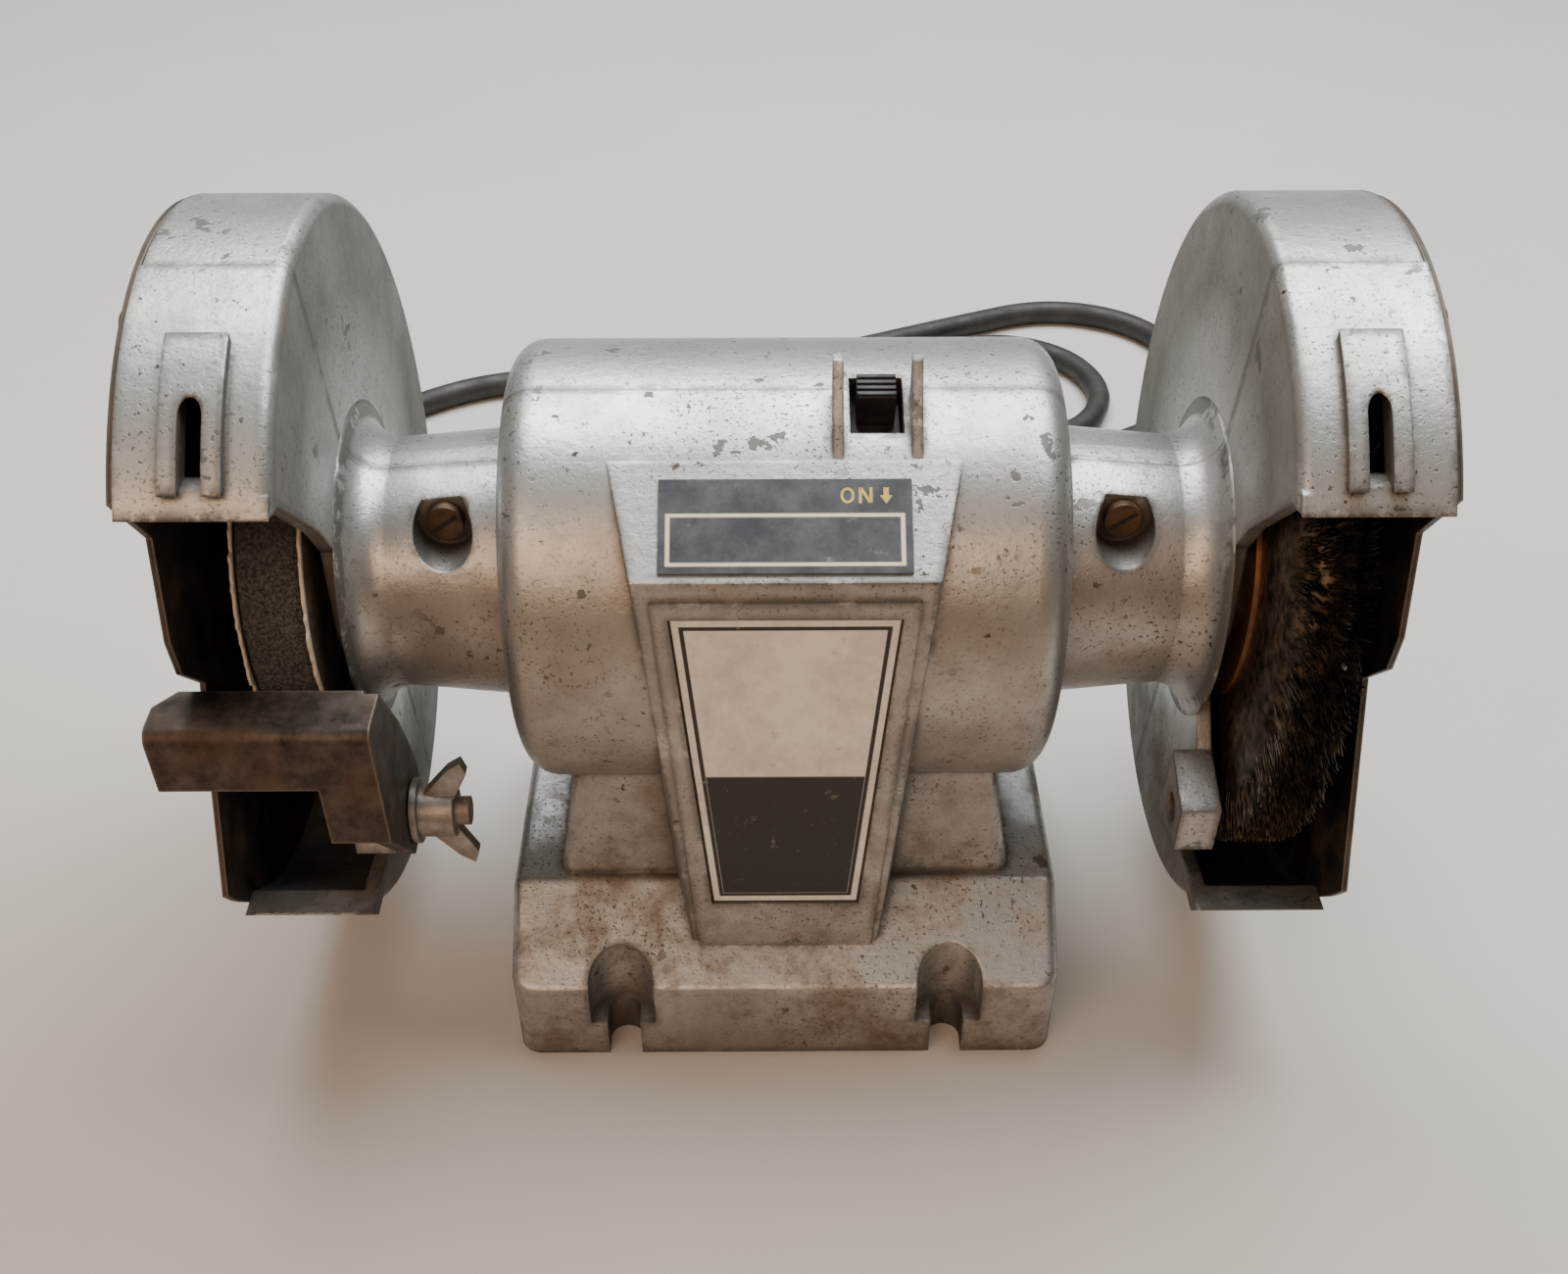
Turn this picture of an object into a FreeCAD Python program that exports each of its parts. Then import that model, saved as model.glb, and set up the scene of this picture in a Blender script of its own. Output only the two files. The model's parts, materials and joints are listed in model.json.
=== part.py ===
# Bench grinder with two wheel guards, a grinding wheel, a wire wheel and one tool rest.
# X runs along the shaft, +Y points to the back, +Z up. The origin is the middle of the base underside.
import FreeCAD, Part
import math
import os
import Sketcher

Vector = FreeCAD.Vector
Rotation = FreeCAD.Rotation
Placement = FreeCAD.Placement

doc = FreeCAD.newDocument("bench_grinder")
sheet = doc.addObject("Spreadsheet::Sheet", "Sizes")

# Driving dimensions in millimetres and degrees
SIZES = [
    ("shaft_height", 97.0),
    ("shaft_radius", 6.35),
    ("parting_tilt", 11.0),
    # motor housing and necks
    ("drum_radius", 45.4),
    ("drum_half", 55.0),
    ("drum_round", 7.0),
    ("drum_wall", 4.2),
    ("drum_end_wall", 5.0),
    ("neck_root_radius", 28.6),
    ("neck_tip_radius", 26.0),
    ("neck_flare", 8.0),
    # wheel guards
    ("guard_inner", 87.5),
    ("guard_depth", 27.0),
    ("guard_radius", 73.0),
    ("guard_wall", 3.0),
    ("guard_round", 2.5),
    ("rear_rim_step", 0.6),
    ("mouth_top", 46.0),
    ("lip_depth", 4.2),
    ("mouth_back", 26.0),
    ("mouth_bottom", 51.0),
    ("tab_front", 46.0),
    ("tab_top", 31.0),
    ("tab_root", 27.0),
    ("tab_foot", 42.0),
    ("shield_slot_width", 4.2),
    ("shield_pad_width", 11.0),
    ("shield_slot_drop", 11.6),
    ("shield_rib", 1.6),
    ("boss_radius", 3.4),
    ("boss_inset", 6.8),
    ("hub_hole", 10.0),
    # side covers
    ("cover_thick", 1.2),
    ("cover_inset", 0.6),
    ("cover_notch", 39.0),
    # base and pedestal
    ("base_half_width", 61.0),
    ("base_half_depth", 55.0),
    ("base_edge_height", 21.0),
    ("base_rise", 14.5),
    ("base_ledge", 2.2),
    ("base_corner", 5.0),
    ("base_edge_round", 2.5),
    ("pedestal_depth", 32.0),
    ("pedestal_top_half", 45.0),
    ("pedestal_foot_half", 50.5),
    ("pedestal_round", 3.0),
    ("slot_spacing", 36.6),
    ("slot_radius", 3.7),
    ("slot_inset", 4.6),
    ("pocket_radius", 7.3),
    ("pocket_inset", 1.5),
    ("pocket_floor", 10.2),
    # nameplate column and shelf
    ("column_face", 45.7),
    ("column_root", 24.6),
    ("shelf_fall", 12.9),
    ("shelf_proud", 0.24),
    ("shelf_edge_half", 28.7),
    ("shelf_root_half", 33.4),
    ("column_foot_half", 19.2),
    ("column_foot_root", 24.0),
    ("frame_step", 1.0),
    ("frame_half_top", 25.4),
    ("frame_half_foot", 18.2),
    ("plate_half_top", 21.6),
    ("plate_half_foot", 15.4),
    ("plate_rise", 17.5),
    ("plate_foot", 40.5),
    ("plate_recess", 1.2),
    ("plate_thick", 0.6),
    ("plate_gap", 0.5),
    ("switch_plate_half", 23.6),
    ("switch_plate_long", 19.0),
    # motor insides
    ("stator_radius", 41.0),
    ("stator_start", -36.0),
    ("stator_long", 38.0),
    ("stator_bore", 25.0),
    ("air_gap", 0.5),
    ("winding_radius", 37.0),
    ("winding_long", 9.0),
    ("bearing_radius", 14.29),
    ("bearing_width", 7.94),
    ("bearing_back", 24.0),
    ("ball_radius", 2.0),
    ("ball_clearance", 0.1),
    # wheels and their clamping
    ("flange_radius", 17.0),
    ("flange_thick", 2.0),
    ("flange_clearance", 0.4),
    ("blotter_thick", 0.6),
    ("blotter_extra", 1.0),
    ("wheel_radius", 36.0),
    ("wheel_width", 12.7),
    ("brush_radius", 60.0),
    ("brush_root_radius", 29.0),
    ("brush_flare", 1.6),
    ("brush_plate", 1.2),
    ("arbor_nut_thick", 4.5),
    ("arbor_nut_radius", 10.4),
    ("shaft_end_gap", 0.7),
    # switch
    ("switch_x", 17.5),
    ("switch_angle", 16.0),
    ("window_width", 10.2),
    ("window_long", 14.4),
    ("knob_width", 7.4),
    ("knob_long", 6.0),
    ("knob_rise", 1.9),
    ("switch_travel", 5.0),
    ("fin_gap", 14.9),
    ("fin_thick", 2.0),
    ("fin_height", 8.5),
    # screws
    ("neck_screw_back", 20.0),
    ("neck_screw_rise", 19.2),
    ("screw_head_radius", 3.7),
    ("screw_head_thick", 2.5),
    ("screw_shank_radius", 1.9),
    ("screw_recess_radius", 6.0),
    ("screw_recess_floor", 13.0),
    ("rear_screw_drop", 49.0),
    ("cover_screw_head", 3.0),
    ("cover_screw_shank", 1.5),
    ("cover_screw_thick", 1.9),
    ("cover_screw_long", 8.0),
    # tool rest
    ("rest_overhang", 34.5),
    ("rest_offset", 8.5),
    ("rest_back", 44.2),
    ("rest_front", 57.8),
    ("rest_thick", 3.0),
    ("rest_rise", 37.0),
    ("skirt_drop", 14.0),
    ("leg_drop", 28.0),
    ("leg_width", 12.0),
    ("rest_gap", 0.3),
    ("bolt_back", 38.0),
    ("bolt_drop", 37.0),
    ("bolt_radius", 3.1),
    ("bolt_clearance", 0.25),
    ("rest_slot_half", 7.0),
    ("washer_radius", 7.0),
    ("washer_thick", 1.4),
    ("nut_hub_radius", 5.6),
    ("nut_hub_long", 7.5),
    ("wing_reach", 14.0),
    ("wing_thick", 2.6),
    # cord
    ("cord_radius", 4.0),
    ("relief_x", 20.0),
    ("relief_height", 85.0),
    ("relief_flange", 8.0),
    ("relief_long", 24.0),
    ("plug_radius", 13.0),
    ("plug_long", 34.0),
]
# Places that follow from the sizes above
FOLLOWING = [
    ("guard_outer", "=guard_inner + guard_depth"),
    ("rest_left", "=guard_inner + rest_overhang"),
    ("rest_right", "=guard_inner - rest_offset"),
    ("bearing_place", "=guard_inner - bearing_back"),
    ("neck_screw_x", "=guard_inner - neck_screw_back"),
    ("shelf_root_height", "=shaft_height + sqrt(drum_radius^2 - column_root^2) + shelf_proud"),
    ("shelf_edge_height", "=shelf_root_height - shelf_fall"),
    ("boss_place", "=guard_radius - boss_inset"),
    ("cover_radius", "=guard_radius - cover_inset"),
    ("plate_top", "=shaft_height + plate_rise"),
    ("rear_screw_height", "=shaft_height - rear_screw_drop"),
    ("bolt_height", "=shaft_height - bolt_drop"),
    ("rest_top", "=bolt_height + rest_rise"),
]
for row, (alias, value) in enumerate(SIZES + FOLLOWING, start=1):
    sheet.set("A%d" % row, alias)
    sheet.set("B%d" % row, str(value))
    sheet.setAlias("B%d" % row, alias)
doc.recompute()

PLANES = {
    "yz": Rotation(Vector(1, 1, 1), 120),
    "xz": Rotation(Vector(1, 0, 0), 90),
    "xy": Rotation(),
}
ALONG_X = Rotation(Vector(0, 1, 0), 90)
ALONG_BACK = Rotation(Vector(1, 0, 0), -90)
AXIS = ("0", "0", "Sizes.shaft_height")
ZERO = ("0", "0", "0")
SIDES = (("left", -1), ("right", 1))
nodes = []


def size(alias):
    """Value of one named size, for the shapes that no bound property can hold."""
    return float(sheet.get(alias))


def bind(thing, **links):
    """Tie properties to sheet expressions; a double underscore stands for a dot."""
    for name, expression in links.items():
        thing.setExpression(name.replace("__", "."), str(expression))
    return thing


def place(thing, spot, turn=None):
    """Set the rotation once and tie the three coordinates to the sheet."""
    thing.Placement = Placement(Vector(), turn or Rotation())
    return bind(thing, Placement__Base__x=spot[0], Placement__Base__y=spot[1], Placement__Base__z=spot[2])


def cylinder(name, radius, length, spot, turn):
    made = doc.addObject("Part::Cylinder", name)
    bind(made, Radius=radius, Height=length)
    return place(made, spot, turn)


def x_cylinder(name, radius, start, stop, side=1, spot=("0", "Sizes.shaft_height")):
    """Cylinder along the shaft direction, given by its distances from the middle on one side."""
    begin = start if side > 0 else "-(%s)" % stop
    return cylinder(name, radius, "(%s) - (%s)" % (stop, start), (begin, spot[0], spot[1]), ALONG_X)


def box(name, low, dims, turn=None):
    made = doc.addObject("Part::Box", name)
    bind(made, Length=dims[0], Width=dims[1], Height=dims[2])
    return place(made, low, turn)


def outline(name, plane, points, origin=ZERO):
    """Closed polygon sketch whose corners are all tied to the sheet."""
    sketch = doc.addObject("Sketcher::SketchObject", name)
    place(sketch, origin, PLANES[plane])
    count = len(points)
    ring = []
    for index in range(count):
        turn = 2 * math.pi * index / count
        ring.append(Vector(50 * math.cos(turn), 50 * math.sin(turn), 0))
    for index in range(count):
        sketch.addGeometry(Part.LineSegment(ring[index], ring[(index + 1) % count]))
    for index in range(count):
        sketch.addConstraint(Sketcher.Constraint("Coincident", index, 2, (index + 1) % count, 1))
    for index, (across, up) in enumerate(points):
        corner = ring[index]
        for kind, start, expression in (("DistanceX", corner.x, across), ("DistanceY", corner.y, up)):
            number = sketch.addConstraint(Sketcher.Constraint(kind, index, 1, start))
            sketch.setExpression("Constraints[%d]" % number, expression)
    return sketch


def extrude(name, sketch, direction, forward, backward="0"):
    made = doc.addObject("Part::Extrusion", name)
    made.Base = sketch
    made.DirMode = "Custom"
    made.Dir = direction
    made.Solid = True
    return bind(made, LengthFwd=forward, LengthRev=backward)


def revolve(name, sketch):
    """Turn an xz sketch about the shaft line."""
    made = doc.addObject("Part::Revolution", name)
    made.Source = sketch
    made.Axis = Vector(1, 0, 0)
    made.Angle = 360
    made.Solid = True
    return bind(made, Base__z="Sizes.shaft_height")


def fuse(name, parts):
    made = doc.addObject("Part::MultiFuse", name)
    made.Shapes = parts
    made.Refine = True
    return made


def cut(name, base, tool):
    made = doc.addObject("Part::Cut", name)
    made.Base = base
    made.Tool = tool
    made.Refine = True
    return made


def common(name, base, tool):
    made = doc.addObject("Part::Common", name)
    made.Base = base
    made.Tool = tool
    made.Refine = True
    return made


def cut_all(name, base, tools):
    return cut(name, base, fuse(name + "_tools", tools) if len(tools) > 1 else tools[0])


def mirror(name, source):
    made = doc.addObject("Part::Mirroring", name)
    made.Source = source
    made.Normal = Vector(1, 0, 0)
    return made


def rounded(name, base, alias, wanted):
    """Fillet the edges of base that the test picks, with a radius from the sheet."""
    doc.recompute()
    made = doc.addObject("Part::Fillet", name)
    made.Base = base
    radius = size(alias)
    made.Edges = [(i, radius, radius) for i, edge in enumerate(base.Shape.Edges, start=1) if wanted(edge)]
    return made


def node(label, thing):
    thing.Label = label
    nodes.append(thing)
    return thing


def upright(edge):
    spread = edge.BoundBox
    return spread.XLength < 0.01 and spread.YLength < 1.5 and spread.ZLength > 5


# Motor housing: a drum with rounded ends
drum_plain = x_cylinder("drum_plain", "Sizes.drum_radius", "-Sizes.drum_half", "Sizes.drum_half")
drum = rounded("drum", drum_plain, "drum_round", lambda edge: isinstance(edge.Curve, Part.Circle))

# Necks that carry the bearings and flare into the guards
neck_points = [
    ("Sizes.drum_half - Sizes.drum_end_wall", "0"),
    ("Sizes.drum_half - Sizes.drum_end_wall", "Sizes.neck_root_radius"),
]
neck_points.append(("Sizes.guard_inner - Sizes.neck_flare", "Sizes.neck_tip_radius"))
neck_points.append(("Sizes.guard_inner - Sizes.neck_flare", "0"))
neck_plain = revolve("neck_plain", outline("neck_outline", "xz", neck_points, AXIS))
flare_disc = x_cylinder("flare_disc", "Sizes.neck_tip_radius + 0.94 * Sizes.neck_flare",
                        "Sizes.guard_inner - Sizes.neck_flare", "Sizes.guard_inner")
flare_scoop = doc.addObject("Part::Torus", "flare_scoop")
bind(flare_scoop, Radius1="Sizes.neck_tip_radius + Sizes.neck_flare", Radius2="Sizes.neck_flare")
place(flare_scoop, ("Sizes.guard_inner - Sizes.neck_flare", "0", "Sizes.shaft_height"), ALONG_X)
neck_right = fuse("neck_right", [neck_plain, cut("flare", flare_disc, flare_scoop)])
neck_left = mirror("neck_left", neck_right)

# Pedestal between the drum and the base
pedestal_points = [
    ("-Sizes.pedestal_foot_half", "0"),
    ("-Sizes.pedestal_foot_half", "Sizes.base_edge_height + Sizes.base_rise"),
    ("-Sizes.pedestal_top_half", "Sizes.shaft_height - 0.7 * Sizes.drum_radius"),
    ("Sizes.pedestal_top_half", "Sizes.shaft_height - 0.7 * Sizes.drum_radius"),
    ("Sizes.pedestal_foot_half", "Sizes.base_edge_height + Sizes.base_rise"),
    ("Sizes.pedestal_foot_half", "0"),
]
pedestal_plain = extrude("pedestal_plain", outline("pedestal_outline", "xz", pedestal_points),
                         Vector(0, 1, 0), "Sizes.pedestal_depth", "Sizes.pedestal_depth")
pedestal = rounded("pedestal", pedestal_plain, "pedestal_round", lambda edge: edge.BoundBox.YLength < 0.01
                   and edge.BoundBox.ZLength > 15)

# Base with a top that rises to the pedestal, and four open bolt slots in deep pockets
base_points = [
    ("-Sizes.base_half_depth", "0"),
    ("-Sizes.base_half_depth", "Sizes.base_edge_height"),
    ("-Sizes.pedestal_depth - Sizes.base_ledge", "Sizes.base_edge_height + Sizes.base_rise"),
    ("Sizes.pedestal_depth + Sizes.base_ledge", "Sizes.base_edge_height + Sizes.base_rise"),
    ("Sizes.base_half_depth", "Sizes.base_edge_height"),
    ("Sizes.base_half_depth", "0"),
]
base_plain = extrude("base_plain", outline("base_outline", "yz", base_points), Vector(1, 0, 0),
                     "Sizes.base_half_width", "Sizes.base_half_width")
base_corners = rounded("base_corners", base_plain, "base_corner", upright)
base_block = rounded("base_block", base_corners, "base_edge_round", lambda edge: edge.BoundBox.ZMin > 15)
slot_tools = []
for name, across in SIDES:
    for end, depth in (("front", -1), ("rear", 1)):
        x = "%d * Sizes.slot_spacing" % across
        for kind, floor in (("slot", "-1"), ("pocket", "Sizes.pocket_floor")):
            radius = "Sizes.%s_radius" % kind
            middle = "%d * (Sizes.base_half_depth - Sizes.%s_inset)" % (depth, kind)
            stem = "%s_%s_%s" % (kind, name, end)
            slot_tools.append(cylinder(stem + "_round", radius, "60", (x, middle, floor), None))
            low = middle if depth > 0 else "%s - 20" % middle
            slot_tools.append(box(stem + "_run", ("%s - %s" % (x, radius), low, floor),
                                  ("2 * " + radius, "20", "60")))

# Nameplate column with its sloping shelf
column_face = outline("column_face_outline", "xz", [
    ("-Sizes.column_foot_half", "0.6 * Sizes.base_edge_height"),
    ("-Sizes.shelf_edge_half", "Sizes.shelf_edge_height"),
    ("Sizes.shelf_edge_half", "Sizes.shelf_edge_height"),
    ("Sizes.column_foot_half", "0.6 * Sizes.base_edge_height"),
], ("0", "-Sizes.column_face", "0"))
column_back = outline("column_back_outline", "xz", [
    ("-Sizes.column_foot_root", "0.6 * Sizes.base_edge_height"),
    ("-Sizes.shelf_root_half", "Sizes.shelf_root_height"),
    ("Sizes.shelf_root_half", "Sizes.shelf_root_height"),
    ("Sizes.column_foot_root", "0.6 * Sizes.base_edge_height"),
], ("0", "-Sizes.column_root", "0"))
column = doc.addObject("Part::Loft", "column")
column.Sections = [column_face, column_back]
column.Solid = True
column.Ruled = True
frame_points = [
    ("-Sizes.frame_half_foot", "0.7 * Sizes.base_edge_height"),
    ("-Sizes.frame_half_top", "Sizes.shelf_edge_height - 4"),
    ("Sizes.frame_half_top", "Sizes.shelf_edge_height - 4"),
    ("Sizes.frame_half_foot", "0.7 * Sizes.base_edge_height"),
]
frame = extrude("frame", outline("frame_outline", "xz", frame_points, ("0", "-Sizes.column_face", "0")),
                Vector(0, -1, 0), "Sizes.frame_step", "2")


def plate_points(slack):
    return [
        ("-Sizes.plate_half_foot - %s" % slack, "Sizes.plate_foot - %s" % slack),
        ("-Sizes.plate_half_top - %s" % slack, "Sizes.plate_top + %s" % slack),
        ("Sizes.plate_half_top + %s" % slack, "Sizes.plate_top + %s" % slack),
        ("Sizes.plate_half_foot + %s" % slack, "Sizes.plate_foot - %s" % slack),
    ]


plate_floor = "-Sizes.column_face - Sizes.frame_step + Sizes.plate_recess"
recess = extrude("recess", outline("recess_outline", "xz", plate_points("Sizes.plate_gap"),
                                   ("0", plate_floor, "0")), Vector(0, -1, 0), "5")

# Fins beside the switch window and the window itself
tilt = "Sizes.parting_tilt"
fin_back = "-(Sizes.drum_radius + Sizes.fin_height) * tan(%s * 1 deg)" % tilt
fin_points = [
    (fin_back, "Sizes.drum_radius - 4"),
    (fin_back, "Sizes.drum_radius - 1 + Sizes.fin_height"),
    (fin_back + " - 2.5", "Sizes.drum_radius - 1.2 + Sizes.fin_height"),
    ("-Sizes.drum_radius * sin((%s + 21) * 1 deg)" % tilt,
     "Sizes.drum_radius * cos((%s + 21) * 1 deg)" % tilt),
    ("-Sizes.drum_radius * sin((%s + 12) * 1 deg)" % tilt, "Sizes.drum_radius - 8"),
]
fins = []
for name, across in SIDES:
    start = ("Sizes.switch_x + %d * Sizes.fin_gap / 2 - Sizes.fin_thick / 2" % across, "0",
             "Sizes.shaft_height")
    fins.append(extrude("fin_" + name, outline("fin_outline_" + name, "yz", fin_points, start),
                        Vector(1, 0, 0), "Sizes.fin_thick"))


def switch_box(name, width, long, low, high, shift="0"):
    """Box square to the housing at the switch: width along X, long round it, low to high outwards."""
    lean = "Sizes.switch_angle * 1 deg"
    made = doc.addObject("Part::Box", name)
    bind(made, Length=width, Width=long, Height="(%s) - (%s)" % (high, low))
    turn = Rotation(Vector(1, 0, 0), size("switch_angle"))
    along = "(%s - (%s) / 2)" % (shift, long)
    spot = ("Sizes.switch_x - (%s) / 2" % width,
            "%s * cos(%s) - (%s) * sin(%s)" % (along, lean, low, lean),
            "Sizes.shaft_height + %s * sin(%s) + (%s) * cos(%s)" % (along, lean, low, lean))
    return place(made, spot, turn)


window = switch_box("window", "Sizes.window_width", "Sizes.window_long",
                    "Sizes.drum_radius - 2 * Sizes.drum_wall", "Sizes.drum_radius + 3")

# Spaces inside the housing
cavity_reach = "Sizes.drum_half - Sizes.drum_end_wall"
cavity = x_cylinder("cavity", "Sizes.drum_radius - Sizes.drum_wall", "-(%s)" % cavity_reach, cavity_reach)
bearing_end = "Sizes.bearing_place + Sizes.bearing_width"
bores = []
for name, side in SIDES:
    bores.append(x_cylinder("bearing_seat_" + name, "Sizes.bearing_radius", "40", bearing_end, side))
    bores.append(x_cylinder("shaft_way_" + name, "Sizes.hub_hole", "60", "Sizes.guard_inner + 1", side))
    spot = ("%d * Sizes.neck_screw_x" % side, "-60", "Sizes.shaft_height + Sizes.neck_screw_rise")
    bores.append(cylinder("neck_recess_" + name, "Sizes.screw_recess_radius", "60 - Sizes.screw_recess_floor",
                          spot, ALONG_BACK))
    bores.append(cylinder("neck_hole_" + name, "Sizes.screw_shank_radius", "60 + 0.6 * Sizes.neck_tip_radius",
                          spot, ALONG_BACK))
    low = ("%d * Sizes.slot_spacing" % side, "0", "Sizes.rear_screw_height")
    bores.append(cylinder("rear_hole_" + name, "Sizes.screw_shank_radius", "60", low, ALONG_BACK))
relief_spot = ("Sizes.relief_x", "0.5 * Sizes.drum_radius", "Sizes.relief_height")
bores.append(cylinder("relief_hole", "Sizes.cord_radius + 1.5", "60", relief_spot, ALONG_BACK))

shell_outer = fuse("shell_outer", [drum, neck_right, neck_left, pedestal, base_block, column, frame] + fins)
shell = cut_all("shell", shell_outer, slot_tools + [recess, window, cavity] + bores)

# Parting plane through the shaft line, tipped forward at the top
half_size = "400"
tip = Rotation(Vector(1, 0, 0), size("parting_tilt"))


def half_space(name, depth):
    """Large block on one side of the parting plane; depth is -1 for the front, 1 for the back."""
    made = doc.addObject("Part::Box", name)
    bind(made, Length="2 * " + half_size, Width=half_size, Height="2 * " + half_size)
    lean = "Sizes.parting_tilt * 1 deg"
    back = "-" + half_size if depth < 0 else "0"
    return place(made, ("-" + half_size,
                        "(%s) * cos(%s) + %s * sin(%s)" % (back, lean, half_size, lean),
                        "Sizes.shaft_height + (%s) * sin(%s) - %s * cos(%s)" % (back, lean, half_size, lean)),
                 tip)


front_half = half_space("front_half", -1)
rear_half = half_space("rear_half", 1)
node("front_casting", common("front_casting", shell, front_half))
node("rear_casting", common("rear_casting", shell, rear_half))

# Wheel guard on the right: drum shell, mouth, lips, ribs, shield slot and screw bosses
guard_plain = x_cylinder("guard_plain", "Sizes.guard_radius", "Sizes.guard_inner", "Sizes.guard_outer")
guard_round = rounded("guard_round_drum", guard_plain, "guard_round", lambda edge: isinstance(
    edge.Curve, Part.Circle) and edge.CenterOfMass.x < size("guard_inner") + 1)
inside = x_cylinder("guard_inside", "Sizes.guard_radius - Sizes.guard_wall",
                    "Sizes.guard_inner + Sizes.guard_wall", "Sizes.guard_outer + 5")
hub_way = x_cylinder("hub_way", "Sizes.hub_hole", "Sizes.guard_inner - 1", "Sizes.guard_outer")
mouth_points = [
    ("-120", "Sizes.mouth_top"),
    ("-Sizes.mouth_back - 26", "Sizes.mouth_top"),
    ("-Sizes.mouth_back - 6", "Sizes.mouth_top - 18"),
    ("-Sizes.mouth_back + 1", "Sizes.mouth_top - 27"),
    ("-Sizes.mouth_back", "0"),
    ("-Sizes.mouth_back + 5", "-18"),
    ("-Sizes.mouth_back - 5", "-Sizes.tab_root"),
    ("-Sizes.tab_front", "-Sizes.tab_top"),
    ("-Sizes.tab_front", "-Sizes.tab_foot"),
    ("-Sizes.mouth_back - 2", "3 - Sizes.mouth_bottom"),
    ("-Sizes.mouth_back - 2", "-3 - Sizes.mouth_bottom"),
    ("-Sizes.tab_front + 3", "-1 - Sizes.mouth_bottom"),
    ("-120", "-1 - Sizes.mouth_bottom"),
]
mouth = extrude("mouth", outline("mouth_outline", "yz", mouth_points, AXIS), Vector(1, 0, 0), "200")
guard_shell = cut_all("guard_shell", guard_round, [inside, hub_way, mouth])

lip_in = "Sizes.guard_radius - Sizes.lip_depth"
lip_ring = cut("lip_ring", x_cylinder("lip_out", "Sizes.guard_radius", "Sizes.guard_inner + 0.5",
                                      "Sizes.guard_outer"),
               x_cylinder("lip_cut", lip_in, "Sizes.guard_inner", "Sizes.guard_outer + 1"))
lip_bar = box("lip_bar", ("0", "-120", "Sizes.shaft_height + Sizes.mouth_top"), ("200", "120", "3"))
top_lip = common("top_lip", lip_ring, lip_bar)
bead_ring = cut("bead_ring", x_cylinder("bead_out", "Sizes.guard_radius + 2.2", "Sizes.guard_inner",
                                        "Sizes.guard_outer"),
                x_cylinder("bead_cut", "Sizes.guard_radius - Sizes.guard_wall", "Sizes.guard_inner - 1",
                           "Sizes.guard_outer + 1"))
bead_bar = box("bead_bar", ("0", "-120", "Sizes.shaft_height - Sizes.mouth_bottom - 5"), ("200", "120", "4"))
bottom_lip = common("bottom_lip", bead_ring, bead_bar)

wheel_middle = "(Sizes.guard_inner + Sizes.guard_outer) / 2"
pad_zone = extrude("pad_zone", outline("pad_zone_outline", "yz", [
    ("-Sizes.guard_radius * 0.43", "Sizes.guard_radius * 0.7"),
    ("-Sizes.guard_radius * 0.43", "Sizes.guard_radius * 1.2"),
    ("-Sizes.guard_radius * 1.2", "Sizes.guard_radius * 1.2"),
    ("-Sizes.guard_radius * 1.2", "Sizes.mouth_top + 4"),
    ("-Sizes.guard_radius * 0.6", "Sizes.mouth_top + 4"),
], AXIS), Vector(1, 0, 0), "200")
pad_ring = x_cylinder("pad_ring", "Sizes.guard_radius + Sizes.shield_rib",
                      "%s - Sizes.shield_pad_width / 2" % wheel_middle,
                      "%s + Sizes.shield_pad_width / 2" % wheel_middle)
pad_bore = x_cylinder("pad_bore", "Sizes.guard_radius - 1", "Sizes.guard_inner", "Sizes.guard_outer + 1")
pad = common("shield_pad", cut("pad_hoop", pad_ring, pad_bore), pad_zone)

boss_angles = (18.0, -100.0, -168.0)


def boss_spot(angle):
    """Where a cover screw sits, at an angle from the top towards the front."""
    return ("-Sizes.boss_place * sin(%g deg)" % angle,
            "Sizes.shaft_height + Sizes.boss_place * cos(%g deg)" % angle)


bosses = []
boss_holes = []
for index, angle in enumerate(boss_angles):
    spot = boss_spot(angle)
    stop = "Sizes.guard_outer" if angle > 0 else "Sizes.guard_outer - Sizes.rear_rim_step"
    bosses.append(x_cylinder("boss_%d" % index, "Sizes.boss_radius", "Sizes.guard_inner + 1", stop, 1, spot))
    boss_holes.append(x_cylinder("boss_hole_%d" % index, "Sizes.cover_screw_shank",
                                 "Sizes.guard_outer - Sizes.cover_screw_long - 1", "Sizes.guard_outer + 1",
                                 1, spot))

# Tab on the motor side of each guard, which takes the tool rest bolt
tab_face = "Sizes.rest_right + Sizes.rest_thick + Sizes.rest_gap"
tab_points = [
    ("-Sizes.tab_front", "-Sizes.tab_top"),
    ("-Sizes.mouth_back - 5", "-Sizes.tab_root"),
    ("-Sizes.mouth_back - 2", "3 - Sizes.mouth_bottom"),
    ("-Sizes.tab_front", "-Sizes.tab_foot"),
]
tab_start = (tab_face, "0", "Sizes.shaft_height")
tab = extrude("tab", outline("tab_outline", "yz", tab_points, tab_start), Vector(1, 0, 0),
              "Sizes.guard_inner + 1 - (%s)" % tab_face)
bolt_line = ("-Sizes.bolt_back", "Sizes.bolt_height")
bolt_hole = x_cylinder("bolt_hole", "Sizes.bolt_radius + Sizes.bolt_clearance", "Sizes.rest_right",
                       "Sizes.guard_inner + 2 * Sizes.guard_wall", 1, bolt_line)

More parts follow.
